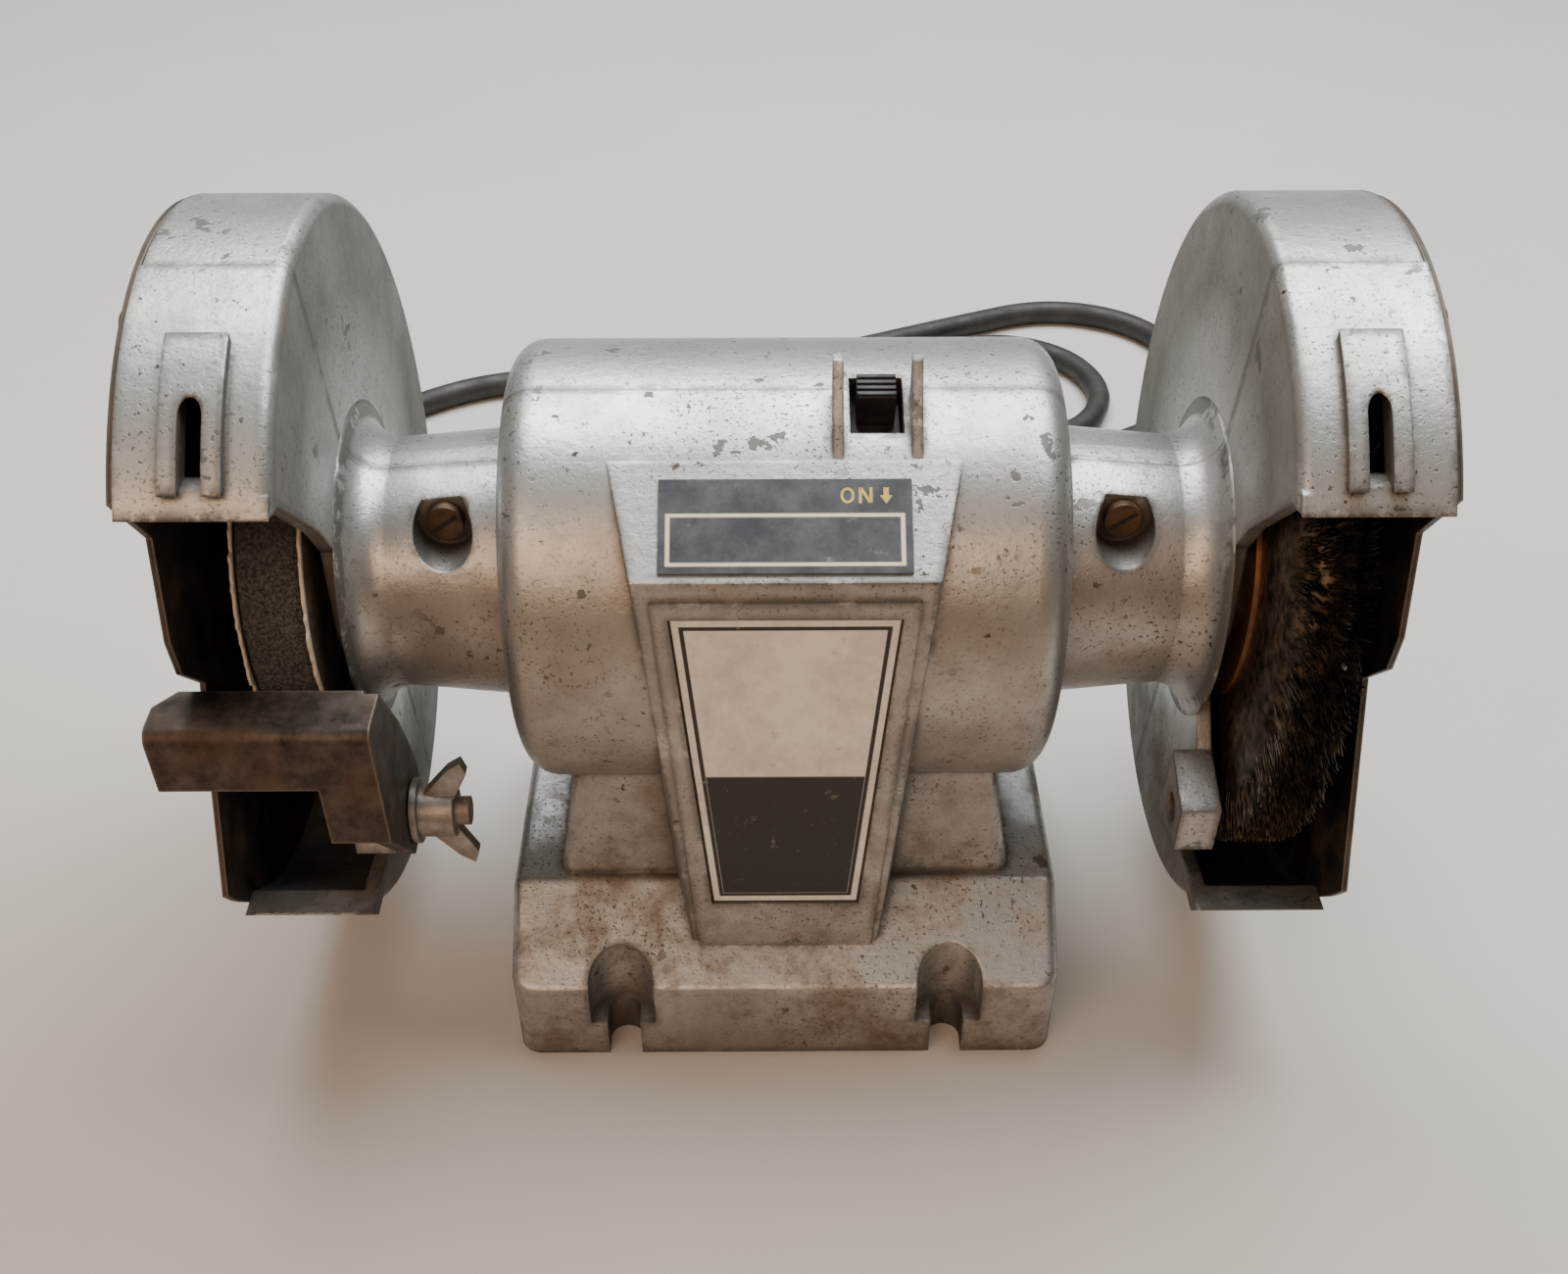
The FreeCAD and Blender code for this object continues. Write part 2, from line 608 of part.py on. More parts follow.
pad_foot = "Sizes.shaft_height + Sizes.mouth_top + 4"
slot_end = "Sizes.shaft_height + Sizes.guard_radius - Sizes.shield_slot_drop - Sizes.shield_slot_width / 2"
slot_way = "120 - 0.4 * Sizes.guard_radius"
shield_slot = box("shield_slot", ("%s - Sizes.shield_slot_width / 2" % wheel_middle, "-120", pad_foot),
                  ("Sizes.shield_slot_width", slot_way, "%s - (%s)" % (slot_end, pad_foot)))
shield_slot_end = cylinder("shield_slot_end", "Sizes.shield_slot_width / 2", slot_way,
                           (wheel_middle, "-120", slot_end), ALONG_BACK)
guard_solid = fuse("guard_solid", [guard_shell, top_lip, bottom_lip, tab, pad] + bosses)
guard = cut_all("guard", guard_solid, [bolt_hole, shield_slot, shield_slot_end] + boss_holes)
rear_slice = x_cylinder("rear_slice", "Sizes.guard_radius + 5", "Sizes.guard_outer - Sizes.rear_rim_step",
                        "Sizes.guard_outer + 5")
guard_front = common("right_guard_front", guard, front_half)
guard_rear = cut("right_guard_rear", common("guard_rear_full", guard, rear_half), rear_slice)
node("right_guard_front", guard_front)
node("right_guard_rear", guard_rear)
node("left_guard_front", mirror("left_guard_front", guard_front))
node("left_guard_rear", mirror("left_guard_rear", guard_rear))

# Side covers with a cut-away front edge, and their screws
cover_front = outline("cover_front_outline", "yz", [
    ("-120", "Sizes.mouth_top + 5"),
    ("-Sizes.cover_notch - 18", "Sizes.mouth_top + 5"),
    ("-Sizes.cover_notch - 4", "Sizes.mouth_top - 12"),
    ("-Sizes.cover_notch - 10", "15"),
    ("-Sizes.cover_notch - 9", "7"),
    ("-Sizes.cover_notch", "-2"),
    ("-Sizes.cover_notch - 21", "8 - Sizes.mouth_bottom"),
    ("-120", "8 - Sizes.mouth_bottom"),
], AXIS)
cover_plain = cut("cover_plain", x_cylinder("cover_disc", "Sizes.cover_radius", "Sizes.guard_outer",
                                            "Sizes.guard_outer + Sizes.cover_thick"),
                  extrude("cover_front", cover_front, Vector(1, 0, 0), "200"))
cover_holes = []
screw_parts = []
for index, angle in enumerate(boss_angles):
    spot = boss_spot(angle)
    face = "Sizes.guard_outer + Sizes.cover_thick"
    cover_holes.append(x_cylinder("cover_hole_%d" % index, "Sizes.cover_screw_shank",
                                  "Sizes.guard_outer - 1", face + " + 1", 1, spot))
    head = x_cylinder("cover_head_%d" % index, "Sizes.cover_screw_head", face,
                      face + " + Sizes.cover_screw_thick", 1, spot)
    shank = x_cylinder("cover_shank_%d" % index, "Sizes.cover_screw_shank",
                       "Sizes.guard_outer - Sizes.cover_screw_long", face + " + 0.5", 1, spot)
    screw_parts.append(fuse("cover_screw_%d" % index, [head, shank]))
cover = node("right_side_cover", cut_all("right_side_cover", cover_plain, cover_holes))
node("left_side_cover", mirror("left_side_cover", cover))
cover_screws = doc.addObject("Part::Compound", "right_cover_screws")
cover_screws.Links = screw_parts
node("right_cover_screws", cover_screws)
node("left_cover_screws", mirror("left_cover_screws", cover_screws))

# Screws through the necks from the front, and through the pedestal from the back
for name, side in SIDES:
    spot = ("%d * Sizes.neck_screw_x" % side, "-Sizes.screw_recess_floor - Sizes.screw_head_thick",
            "Sizes.shaft_height + Sizes.neck_screw_rise")
    head = cylinder("neck_head_" + name, "Sizes.screw_head_radius", "Sizes.screw_head_thick", spot, ALONG_BACK)
    shank = cylinder("neck_shank_" + name, "Sizes.screw_shank_radius",
                     "Sizes.screw_recess_floor + Sizes.screw_head_thick + 0.5 * Sizes.neck_tip_radius", spot,
                     ALONG_BACK)
    node(name + "_neck_screw", fuse(name + "_neck_screw", [head, shank]))
    face = ("%d * Sizes.slot_spacing" % side, "Sizes.pedestal_depth", "Sizes.rear_screw_height")
    start = (face[0], "0", face[2])
    head = cylinder("rear_head_" + name, "Sizes.screw_head_radius", "Sizes.screw_head_thick", face, ALONG_BACK)
    shank = cylinder("rear_shank_" + name, "Sizes.screw_shank_radius", "Sizes.pedestal_depth + 1", start,
                     ALONG_BACK)
    node(name + "_rear_screw", fuse(name + "_rear_screw", [head, shank]))

# Nameplate and switch plate, both blank sheets
node("nameplate", extrude("nameplate", outline("nameplate_outline", "xz", plate_points("0"),
                                               ("0", plate_floor, "0")), Vector(0, -1, 0), "Sizes.plate_thick"))
shelf_run = size("column_face") - size("column_root")
shelf_lean = math.degrees(math.atan2(size("shelf_fall"), shelf_run))
switch_plate = doc.addObject("Part::Box", "switch_plate")
bind(switch_plate, Length="2 * Sizes.switch_plate_half", Width="Sizes.switch_plate_long",
     Height="Sizes.plate_thick")
shelf_share = "(0.07 * (Sizes.column_face - Sizes.column_root))"
place(switch_plate, ("-Sizes.switch_plate_half", "-Sizes.column_face + " + shelf_share,
                     "Sizes.shelf_edge_height + 0.07 * (Sizes.shelf_root_height - Sizes.shelf_edge_height)"),
      Rotation(Vector(1, 0, 0), shelf_lean))
node("switch_plate", switch_plate)

# Stator, windings and rotor
stator_stop = "Sizes.stator_start + Sizes.stator_long"
stator = cut("stator_core", x_cylinder("stator_out", "Sizes.stator_radius", "Sizes.stator_start", stator_stop),
             x_cylinder("stator_bore", "Sizes.stator_bore", "Sizes.stator_start - 1", stator_stop + " + 1"))
node("stator_core", stator)
windings = []
for name, start in (("left", "Sizes.stator_start - Sizes.winding_long"), ("right", stator_stop)):
    stop = "%s + Sizes.winding_long" % start
    coil = x_cylinder("winding_out_" + name, "Sizes.winding_radius", start, stop)
    coil_bore = x_cylinder("winding_bore_" + name, "Sizes.stator_bore + 2", start + " - 1", stop + " + 1")
    windings.append(cut("winding_" + name, coil, coil_bore))
winding_set = doc.addObject("Part::Compound", "stator_windings")
winding_set.Links = windings
node("stator_windings", winding_set)
core = cut("rotor_core", x_cylinder("rotor_out", "Sizes.stator_bore - Sizes.air_gap", "Sizes.stator_start",
                                    stator_stop),
           x_cylinder("rotor_bore", "Sizes.shaft_radius", "Sizes.stator_start - 1", stator_stop + " + 1"))
node("rotor_core", core)
shaft_end = "Sizes.guard_outer - Sizes.shaft_end_gap"
node("shaft", x_cylinder("shaft", "Sizes.shaft_radius", "-(%s)" % shaft_end, shaft_end))

# Bearings: outer ring on the castings, balls and inner ring on the shaft
ball_reach = "Sizes.ball_radius + Sizes.ball_clearance"
pitch = "((Sizes.bearing_radius + Sizes.shaft_radius) / 2)"
for name, side in SIDES:
    ends = ("Sizes.bearing_place", bearing_end, side)
    wide = ("Sizes.bearing_place - 1", bearing_end + " + 1", side)
    outer = cut(name + "_bearing_outer", x_cylinder("outer_out_" + name, "Sizes.bearing_radius", *ends),
                x_cylinder("outer_bore_" + name, "%s + %s" % (pitch, ball_reach), *wide))
    inner = cut(name + "_bearing_inner",
                x_cylinder("inner_out_" + name, "%s - Sizes.ball_radius - 0.02" % pitch, *ends),
                x_cylinder("inner_bore_" + name, "Sizes.shaft_radius", *wide))
    node(name + "_bearing_outer", outer)
    node(name + "_bearing_inner", inner)
    balls = []
    for index in range(8):
        ball = doc.addObject("Part::Sphere", "%s_ball_%d" % (name, index))
        bind(ball, Radius="Sizes.ball_radius")
        turn = "%g deg" % (45 * index)
        middle = "%d * (Sizes.bearing_place + Sizes.bearing_width / 2)" % side
        balls.append(place(ball, (middle, "%s * sin(%s)" % (pitch, turn),
                                  "Sizes.shaft_height + %s * cos(%s)" % (pitch, turn))))
    ball_set = doc.addObject("Part::Compound", name + "_bearing_balls")
    ball_set.Links = balls
    node(name + "_bearing_balls", ball_set)

# Wheels between their flanges, each clamped by a nut
clamp = "Sizes.guard_inner + Sizes.guard_wall + Sizes.flange_clearance + Sizes.flange_thick"
stack = "2 * Sizes.blotter_thick + Sizes.wheel_width"


def bored(name, radius, start, stop, side, bore="Sizes.shaft_radius"):
    return cut(name, x_cylinder(name + "_out", radius, start, stop, side),
               x_cylinder(name + "_bore", bore, start + " - 1", stop + " + 1", side))


for name, side in SIDES:
    face = "%s + %s" % (clamp, stack)
    nut_face = face + " + Sizes.flange_thick"
    node(name + "_inner_flange", bored(name + "_inner_flange", "Sizes.flange_radius",
                                       clamp + " - Sizes.flange_thick", clamp, side))
    node(name + "_outer_flange", bored(name + "_outer_flange", "Sizes.flange_radius", face, nut_face, side))
    hexagon = doc.addObject("Part::Prism", name + "_nut_hexagon")
    hexagon.Polygon = 6
    bind(hexagon, Circumradius="Sizes.arbor_nut_radius", Height="Sizes.arbor_nut_thick")
    start = nut_face if side > 0 else "-(%s + Sizes.arbor_nut_thick)" % nut_face
    place(hexagon, (start, "0", "Sizes.shaft_height"), ALONG_X)
    hole = x_cylinder(name + "_nut_bore", "Sizes.shaft_radius", nut_face + " - 1",
                      nut_face + " + Sizes.arbor_nut_thick + 1", side)
    node(name + "_arbor_nut", cut(name + "_arbor_nut", hexagon, hole))

wheel_start = clamp + " + Sizes.blotter_thick"
wheel_stop = wheel_start + " + Sizes.wheel_width"
blotter_size = "Sizes.wheel_radius + Sizes.blotter_extra"
node("grinding_wheel", bored("grinding_wheel", "Sizes.wheel_radius", wheel_start, wheel_stop, -1))
node("inner_blotter", bored("inner_blotter", blotter_size, clamp, wheel_start, -1))
node("outer_blotter", bored("outer_blotter", blotter_size, wheel_stop,
                            wheel_stop + " + Sizes.blotter_thick", -1))

plate_stop = "%s + %s" % (clamp, stack)
node("inner_brush_plate", bored("inner_brush_plate", "Sizes.brush_root_radius", clamp,
                                clamp + " + Sizes.brush_plate", 1))
node("outer_brush_plate", bored("outer_brush_plate", "Sizes.brush_root_radius",
                                plate_stop + " - Sizes.brush_plate", plate_stop, 1))
brush_low = clamp + " + Sizes.brush_plate"
brush_high = plate_stop + " - Sizes.brush_plate"
brush_points = [
    (brush_low, "Sizes.shaft_radius"),
    (brush_low, "Sizes.brush_root_radius"),
    (brush_low + " - Sizes.brush_flare", "Sizes.brush_radius - 2"),
    (brush_low + " + 1", "Sizes.brush_radius"),
    (brush_high + " - 1", "Sizes.brush_radius"),
    (brush_high + " + Sizes.brush_flare", "Sizes.brush_radius - 2"),
    (brush_high, "Sizes.brush_root_radius"),
    (brush_high, "Sizes.shaft_radius"),
]
node("wire_bristles", revolve("wire_bristles", outline("bristle_outline", "xz", brush_points, AXIS)))

# Slide switch: a fixed body inside the housing and a ribbed knob that slides in the window
body_top = "Sizes.drum_radius - Sizes.drum_wall - 1.1"
knob_shift = "(Sizes.switch_travel / 2)"
switch_body = switch_box("switch_body", "Sizes.window_width - 0.6", "Sizes.window_long + 3", "32", body_top)
node("switch_body", switch_body)
knob = [switch_box("knob_body", "Sizes.knob_width", "Sizes.knob_long", body_top + " + 0.3",
                   "Sizes.drum_radius + Sizes.knob_rise", knob_shift)]
for index in range(4):
    ridge = "%s + (%g) * Sizes.knob_long" % (knob_shift, -0.375 + 0.25 * index)
    knob.append(switch_box("knob_ridge_%d" % index, "Sizes.knob_width", "0.14 * Sizes.knob_long",
                           "Sizes.drum_radius", "Sizes.drum_radius + Sizes.knob_rise + 0.5", ridge))
node("switch_slider", fuse("switch_slider", knob))

# Tool rest bent from one plate: table, skirt, leg and side flange with the bolt slot
right = "-Sizes.rest_right"
flange_left = "-Sizes.rest_right - Sizes.rest_thick"
table_points = [
    (flange_left, "-Sizes.rest_front"),
    (flange_left, "-Sizes.rest_back"),
    ("4 - Sizes.rest_left", "-Sizes.rest_back"),
    ("-Sizes.rest_left", "-Sizes.rest_back - 5"),
    ("-Sizes.rest_left", "-Sizes.rest_front"),
]
table = extrude("rest_table", outline("rest_table_outline", "xy", table_points, ("0", "0", "Sizes.rest_top")),
                Vector(0, 0, -1), "Sizes.rest_thick")
skirt = box("rest_skirt", ("-Sizes.rest_left", "-Sizes.rest_front", "Sizes.rest_top - Sizes.skirt_drop"),
            ("Sizes.rest_left - Sizes.rest_right", "Sizes.rest_thick", "Sizes.skirt_drop"))
leg = box("rest_leg", ("-Sizes.rest_right - Sizes.leg_width", "-Sizes.rest_front",
                       "Sizes.rest_top - Sizes.leg_drop"),
          ("Sizes.leg_width", "Sizes.rest_thick", "Sizes.leg_drop"))
flange_points = [
    ("-Sizes.rest_front", "Sizes.rest_top"),
    ("-Sizes.rest_back - 1", "Sizes.rest_top"),
    ("-Sizes.rest_back + 9", "Sizes.rest_top - 15"),
    ("10 - Sizes.bolt_back", "Sizes.bolt_height + 6"),
    ("10 - Sizes.bolt_back", "Sizes.bolt_height - 2"),
    ("3 - Sizes.bolt_back", "Sizes.bolt_height - 8"),
    ("-Sizes.bolt_back - 5", "Sizes.bolt_height - 8"),
    ("-Sizes.rest_front", "Sizes.rest_top - Sizes.leg_drop"),
]
flange = extrude("rest_flange", outline("rest_flange_outline", "yz", flange_points, (flange_left, "0", "0")),
                 Vector(1, 0, 0), "Sizes.rest_thick")
rest_solid = fuse("rest_solid", [table, skirt, leg, flange])
rest_round = rounded("rest_round", rest_solid, "rest_thick", lambda edge: abs(
    edge.BoundBox.ZMax - size("rest_top")) < 0.01 and edge.BoundBox.ZLength < 0.01
    and abs(edge.CenterOfMass.y + size("rest_front")) < 0.01)
slot_half = "(Sizes.bolt_radius + Sizes.bolt_clearance)"
slot_reach = "(Sizes.rest_slot_half - %s)" % slot_half
slot_parts = [box("rest_slot", (flange_left + " - 1", "-Sizes.bolt_back - " + slot_reach,
                                "Sizes.bolt_height - " + slot_half),
                  ("Sizes.rest_thick + 2", "2 * " + slot_reach, "2 * " + slot_half))]
for name, depth in (("front", -1), ("rear", 1)):
    end_line = ("-Sizes.bolt_back + %d * %s" % (depth, slot_reach), "Sizes.bolt_height")
    slot_parts.append(x_cylinder("rest_slot_" + name, slot_half, "Sizes.rest_right - 1",
                                 "Sizes.rest_right + Sizes.rest_thick + 1", -1, end_line))
node("tool_rest", cut_all("tool_rest", rest_round, slot_parts))

# Bolt in the guard tab, washer and wing nut
nut_start = "Sizes.rest_right - Sizes.rest_gap - Sizes.washer_thick"
nut_stop = nut_start + " - Sizes.nut_hub_long"
wall_face = "Sizes.guard_inner + Sizes.guard_wall"
bolt_head = x_cylinder("bolt_head", "2 * Sizes.bolt_radius", wall_face, wall_face + " + 2", -1, bolt_line)
bolt_shank = x_cylinder("bolt_shank", "Sizes.bolt_radius", nut_stop + " - 3", wall_face + " + 1", -1, bolt_line)
node("rest_bolt", fuse("rest_bolt", [bolt_head, bolt_shank]))
washer = cut("rest_washer", x_cylinder("washer_out", "Sizes.washer_radius", nut_start,
                                       nut_start + " + Sizes.washer_thick", -1, bolt_line),
             x_cylinder("washer_bore", slot_half, "0", "200", -1, bolt_line))
node("rest_washer", washer)
hub = x_cylinder("wing_hub", "Sizes.nut_hub_radius", nut_stop, nut_start + " - 0.05", -1, bolt_line)
wing_points = [
    ("-(%s) + 1.5" % nut_start, "-2"),
    ("-(%s) + 1.5" % nut_start, "Sizes.nut_hub_radius"),
    ("-(%s) - 0.5" % nut_stop, "Sizes.wing_reach - 2"),
    ("-(%s) + 2.5" % nut_stop, "Sizes.wing_reach"),
    ("-(%s) + 3.5" % nut_stop, "Sizes.wing_reach - 3"),
    ("-(%s) - 1" % nut_stop, "2"),
]
wings = []
lift = ("0", "-Sizes.bolt_back", "Sizes.bolt_height")
for name, up in (("lower", -1), ("upper", 1)):
    points = [(across, "%d * (%s)" % (up, height)) for across, height in wing_points]
    wings.append(extrude("wing_" + name, outline("wing_outline_" + name, "xz", points, lift), Vector(0, 1, 0),
                         "Sizes.wing_thick / 2", "Sizes.wing_thick / 2"))
nut_bore = x_cylinder("wing_bore", "Sizes.bolt_radius + 0.03", "0", "200", -1, bolt_line)
node("wing_nut", cut("wing_nut", fuse("wing_solid", [hub] + wings), nut_bore))

# Strain relief in the back of the housing
relief_face = "Sizes.drum_radius + 0.5"
relief_line = ("Sizes.relief_x", relief_face, "Sizes.relief_height")
relief_inner = ("Sizes.relief_x", "Sizes.drum_radius - 9", "Sizes.relief_height")
boot = doc.addObject("Part::Cone", "relief_boot")
bind(boot, Radius1="Sizes.relief_flange - 1.5", Radius2="Sizes.cord_radius + 1.2", Height="Sizes.relief_long")
place(boot, relief_line, ALONG_BACK)
relief_parts = [
    boot,
    cylinder("relief_flange_disc", "Sizes.relief_flange", "3", relief_line, ALONG_BACK),
    cylinder("relief_sleeve", "Sizes.cord_radius + 1.5", "10", relief_inner, ALONG_BACK),
]
relief_bore = cylinder("relief_bore", "Sizes.cord_radius", "80", ("Sizes.relief_x", "0", "Sizes.relief_height"),
                       ALONG_BACK)
node("strain_relief", cut("strain_relief", fuse("relief_solid", relief_parts), relief_bore))

# Power cord: loose loops on the bench behind the housing, from the strain relief to the plug
floor = size("cord_radius") + 0.1
exit_y = size("drum_radius") + 4
exit_z = size("relief_height")
plug_level = size("plug_radius") + 0.2
CORD_ROUTE = [
    (20, exit_y, exit_z), (20, 82, exit_z), (20.5, 118, 75), (23, 152, 48), (32, 184, 20), (60, 206, floor),
    (100, 213, floor), (117, 240, floor), (108, 271, floor), (79, 285, floor), (28, 266, floor),
    (-28, 247, floor), (-76, 234, floor), (-91, 210, floor), (-83, 183, floor), (-59, 168, floor),
    (-8, 178, floor), (52, 187, floor), (106, 203, floor), (140, 226, floor), (152, 262, floor),
    (138, 298, floor), (104, 312, floor), (68, 297, floor), (8, 269, floor), (-52, 257, floor),
    (-98, 256, floor), (-130, 238, floor), (-158, 204, floor), (-156, 164, floor), (-124, 134, floor),
    (-80, 128, floor), (-52, 129, plug_level - 1.7), (-34, 130.5, plug_level), (-17, 132.3, plug_level),
]


def tube_path(points, share=0.45):
    """Straight runs joined by tangent arcs; returns the wire and the arc radii."""
    spots = [Vector(*point) for point in points]
    edges = []
    radii = []
    last = spots[0]
    for before, corner, after in zip(spots, spots[1:], spots[2:]):
        back = (before - corner).normalize()
        ahead = (after - corner).normalize()
        setback = share * min((before - corner).Length, (after - corner).Length)
        start = corner + back * setback
        stop = corner + ahead * setback
        half_turn = (math.pi - back.getAngle(ahead)) / 2
        radius = setback / math.tan(half_turn)
        inward = (back + ahead).normalize()
        middle = corner + inward * (radius / math.cos(half_turn) - radius)
        if (start - last).Length > 0.001:
            edges.append(Part.LineSegment(last, start).toShape())
        edges.append(Part.Arc(start, middle, stop).toShape())
        radii.append(radius)
        last = stop
    edges.append(Part.LineSegment(last, spots[-1]).toShape())
    return Part.Wire(edges), radii


cord_wire, cord_radii = tube_path(CORD_ROUTE)
first = Vector(*CORD_ROUTE[0])
heading = Vector(*CORD_ROUTE[1]) - first
section = Part.Wire(Part.makeCircle(size("cord_radius"), first, heading))
cord_shape = cord_wire.makePipeShell([section], True, False)
cord = doc.addObject("Part::Feature", "power_cord")
cord.Shape = cord_shape
node("power_cord", cord)
share = cord_shape.Volume / (math.pi * size("cord_radius") ** 2 * cord_wire.Length)
print("cord length", round(cord_wire.Length, 1), "volume share", round(share, 4))
print("cord bend radii", [round(radius, 1) for radius in cord_radii])

# Plug at the cord's far end, lying on the bench
plug_start = Vector(*CORD_ROUTE[-1])
plug_heading = (plug_start - Vector(*CORD_ROUTE[-2])).normalize()
plug_turn = Rotation(Vector(0, 0, 1), plug_heading)


def plug_part(name, radius, start, length, aside=0.0, up=0.0):
    """Cylinder along the plug, start and length measured from the end of the cord."""
    made = doc.addObject("Part::Cylinder", name)
    bind(made, Radius=radius, Height=length)
    level = Vector(-plug_heading.y, plug_heading.x, 0)
    made.Placement = Placement(plug_start + plug_heading * start + level * aside + Vector(0, 0, up), plug_turn)
    return made


neck_part = plug_part("plug_neck", "Sizes.cord_radius + 3", -2.0, "14")
body_part = plug_part("plug_grip", "Sizes.plug_radius", 10.0, "Sizes.plug_long - 10")
cord_way = plug_part("plug_cord_way", "Sizes.cord_radius", -5.0, "8")
node("plug_body", cut("plug_body", fuse("plug_solid", [neck_part, body_part]), cord_way))
blades = []
for name, aside in SIDES:
    blade = doc.addObject("Part::Box", "blade_" + name)
    blade.Length = 1.5
    blade.Width = 6.3
    blade.Height = 18
    level = Vector(-plug_heading.y, plug_heading.x, 0)
    blade_turn = Rotation(level, Vector(0, 0, 1), plug_heading, "ZXY")
    corner = plug_start + plug_heading * size("plug_long") + level * (6.35 * aside - 0.75)
    corner = corner + Vector(0, 0, -3.15 - 2)
    blade.Placement = Placement(corner, blade_turn)
    blades.append(blade)
blade_set = doc.addObject("Part::Compound", "plug_blades")
blade_set.Links = blades
node("plug_blades", blade_set)
node("plug_ground_pin", plug_part("plug_ground_pin", "2.4", size("plug_long"), "21", 0.0, 7.0))

doc.recompute()
os.makedirs("parts", exist_ok=True)
for thing in nodes:
    if "Invalid" in thing.State or "Error" in thing.State:
        raise RuntimeError("%s did not rebuild: %s" % (thing.Label, thing.State))
    if thing.Shape.isNull() or not thing.Shape.isValid():
        raise RuntimeError("%s has a bad shape" % thing.Label)
for thing in nodes:
    thing.Shape.exportStep(os.path.join("parts", thing.Label + ".step"))
    print(thing.Label, len(thing.Shape.Solids), round(thing.Shape.Volume, 1))
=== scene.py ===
# %% [markdown]
# # Bench grinder
# A small bench grinder has a motor in the middle, a grinding wheel on the left and a wire wheel on the
# right. The CAD frame gives every casting, wheel part and fastener. This scene adds their finishes, the
# wire wheel's bristles, the worn stone with its torn paper discs, the loose cord, the printed plates
# and a plain studio.

# %% Setup
import json
import math

import bpy
import numpy as np
from mathutils import Matrix, Vector


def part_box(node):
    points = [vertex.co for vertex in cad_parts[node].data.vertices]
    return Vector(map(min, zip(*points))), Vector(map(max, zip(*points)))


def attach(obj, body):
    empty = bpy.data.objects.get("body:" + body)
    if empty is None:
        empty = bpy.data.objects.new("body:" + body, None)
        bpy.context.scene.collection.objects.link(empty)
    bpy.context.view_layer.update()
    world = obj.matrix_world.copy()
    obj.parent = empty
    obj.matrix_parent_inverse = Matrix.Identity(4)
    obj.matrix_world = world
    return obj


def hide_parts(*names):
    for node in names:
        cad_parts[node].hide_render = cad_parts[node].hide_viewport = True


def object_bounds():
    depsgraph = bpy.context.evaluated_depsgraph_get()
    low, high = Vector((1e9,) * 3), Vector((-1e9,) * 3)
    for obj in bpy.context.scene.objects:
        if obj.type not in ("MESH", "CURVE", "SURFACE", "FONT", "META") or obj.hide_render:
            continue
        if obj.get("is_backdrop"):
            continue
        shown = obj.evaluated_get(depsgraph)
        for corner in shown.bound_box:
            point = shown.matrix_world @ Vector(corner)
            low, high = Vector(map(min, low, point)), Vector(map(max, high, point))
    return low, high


SEED = 7
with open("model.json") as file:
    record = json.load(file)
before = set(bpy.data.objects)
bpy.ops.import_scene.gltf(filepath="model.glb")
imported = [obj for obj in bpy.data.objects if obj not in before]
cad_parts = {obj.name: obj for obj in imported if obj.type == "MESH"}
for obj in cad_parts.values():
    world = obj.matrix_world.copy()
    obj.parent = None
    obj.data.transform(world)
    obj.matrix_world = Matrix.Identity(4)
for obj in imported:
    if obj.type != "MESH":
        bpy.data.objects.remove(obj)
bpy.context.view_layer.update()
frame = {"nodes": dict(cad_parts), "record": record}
nodes = frame["nodes"]
rng = np.random.default_rng(SEED)
print("frame:", len(nodes), "CAD nodes")

# %% [markdown]
# ## Materials
# Every finish on this tool is old: silver paint on castings, rusty sheet, grit, paper, wire and rubber.
# They could be painted as images, but nodes stay sharp at any distance and need no unwrapped surface.
# Node code is long to write out, so a small class holds it: each call adds a node and returns its
# output.

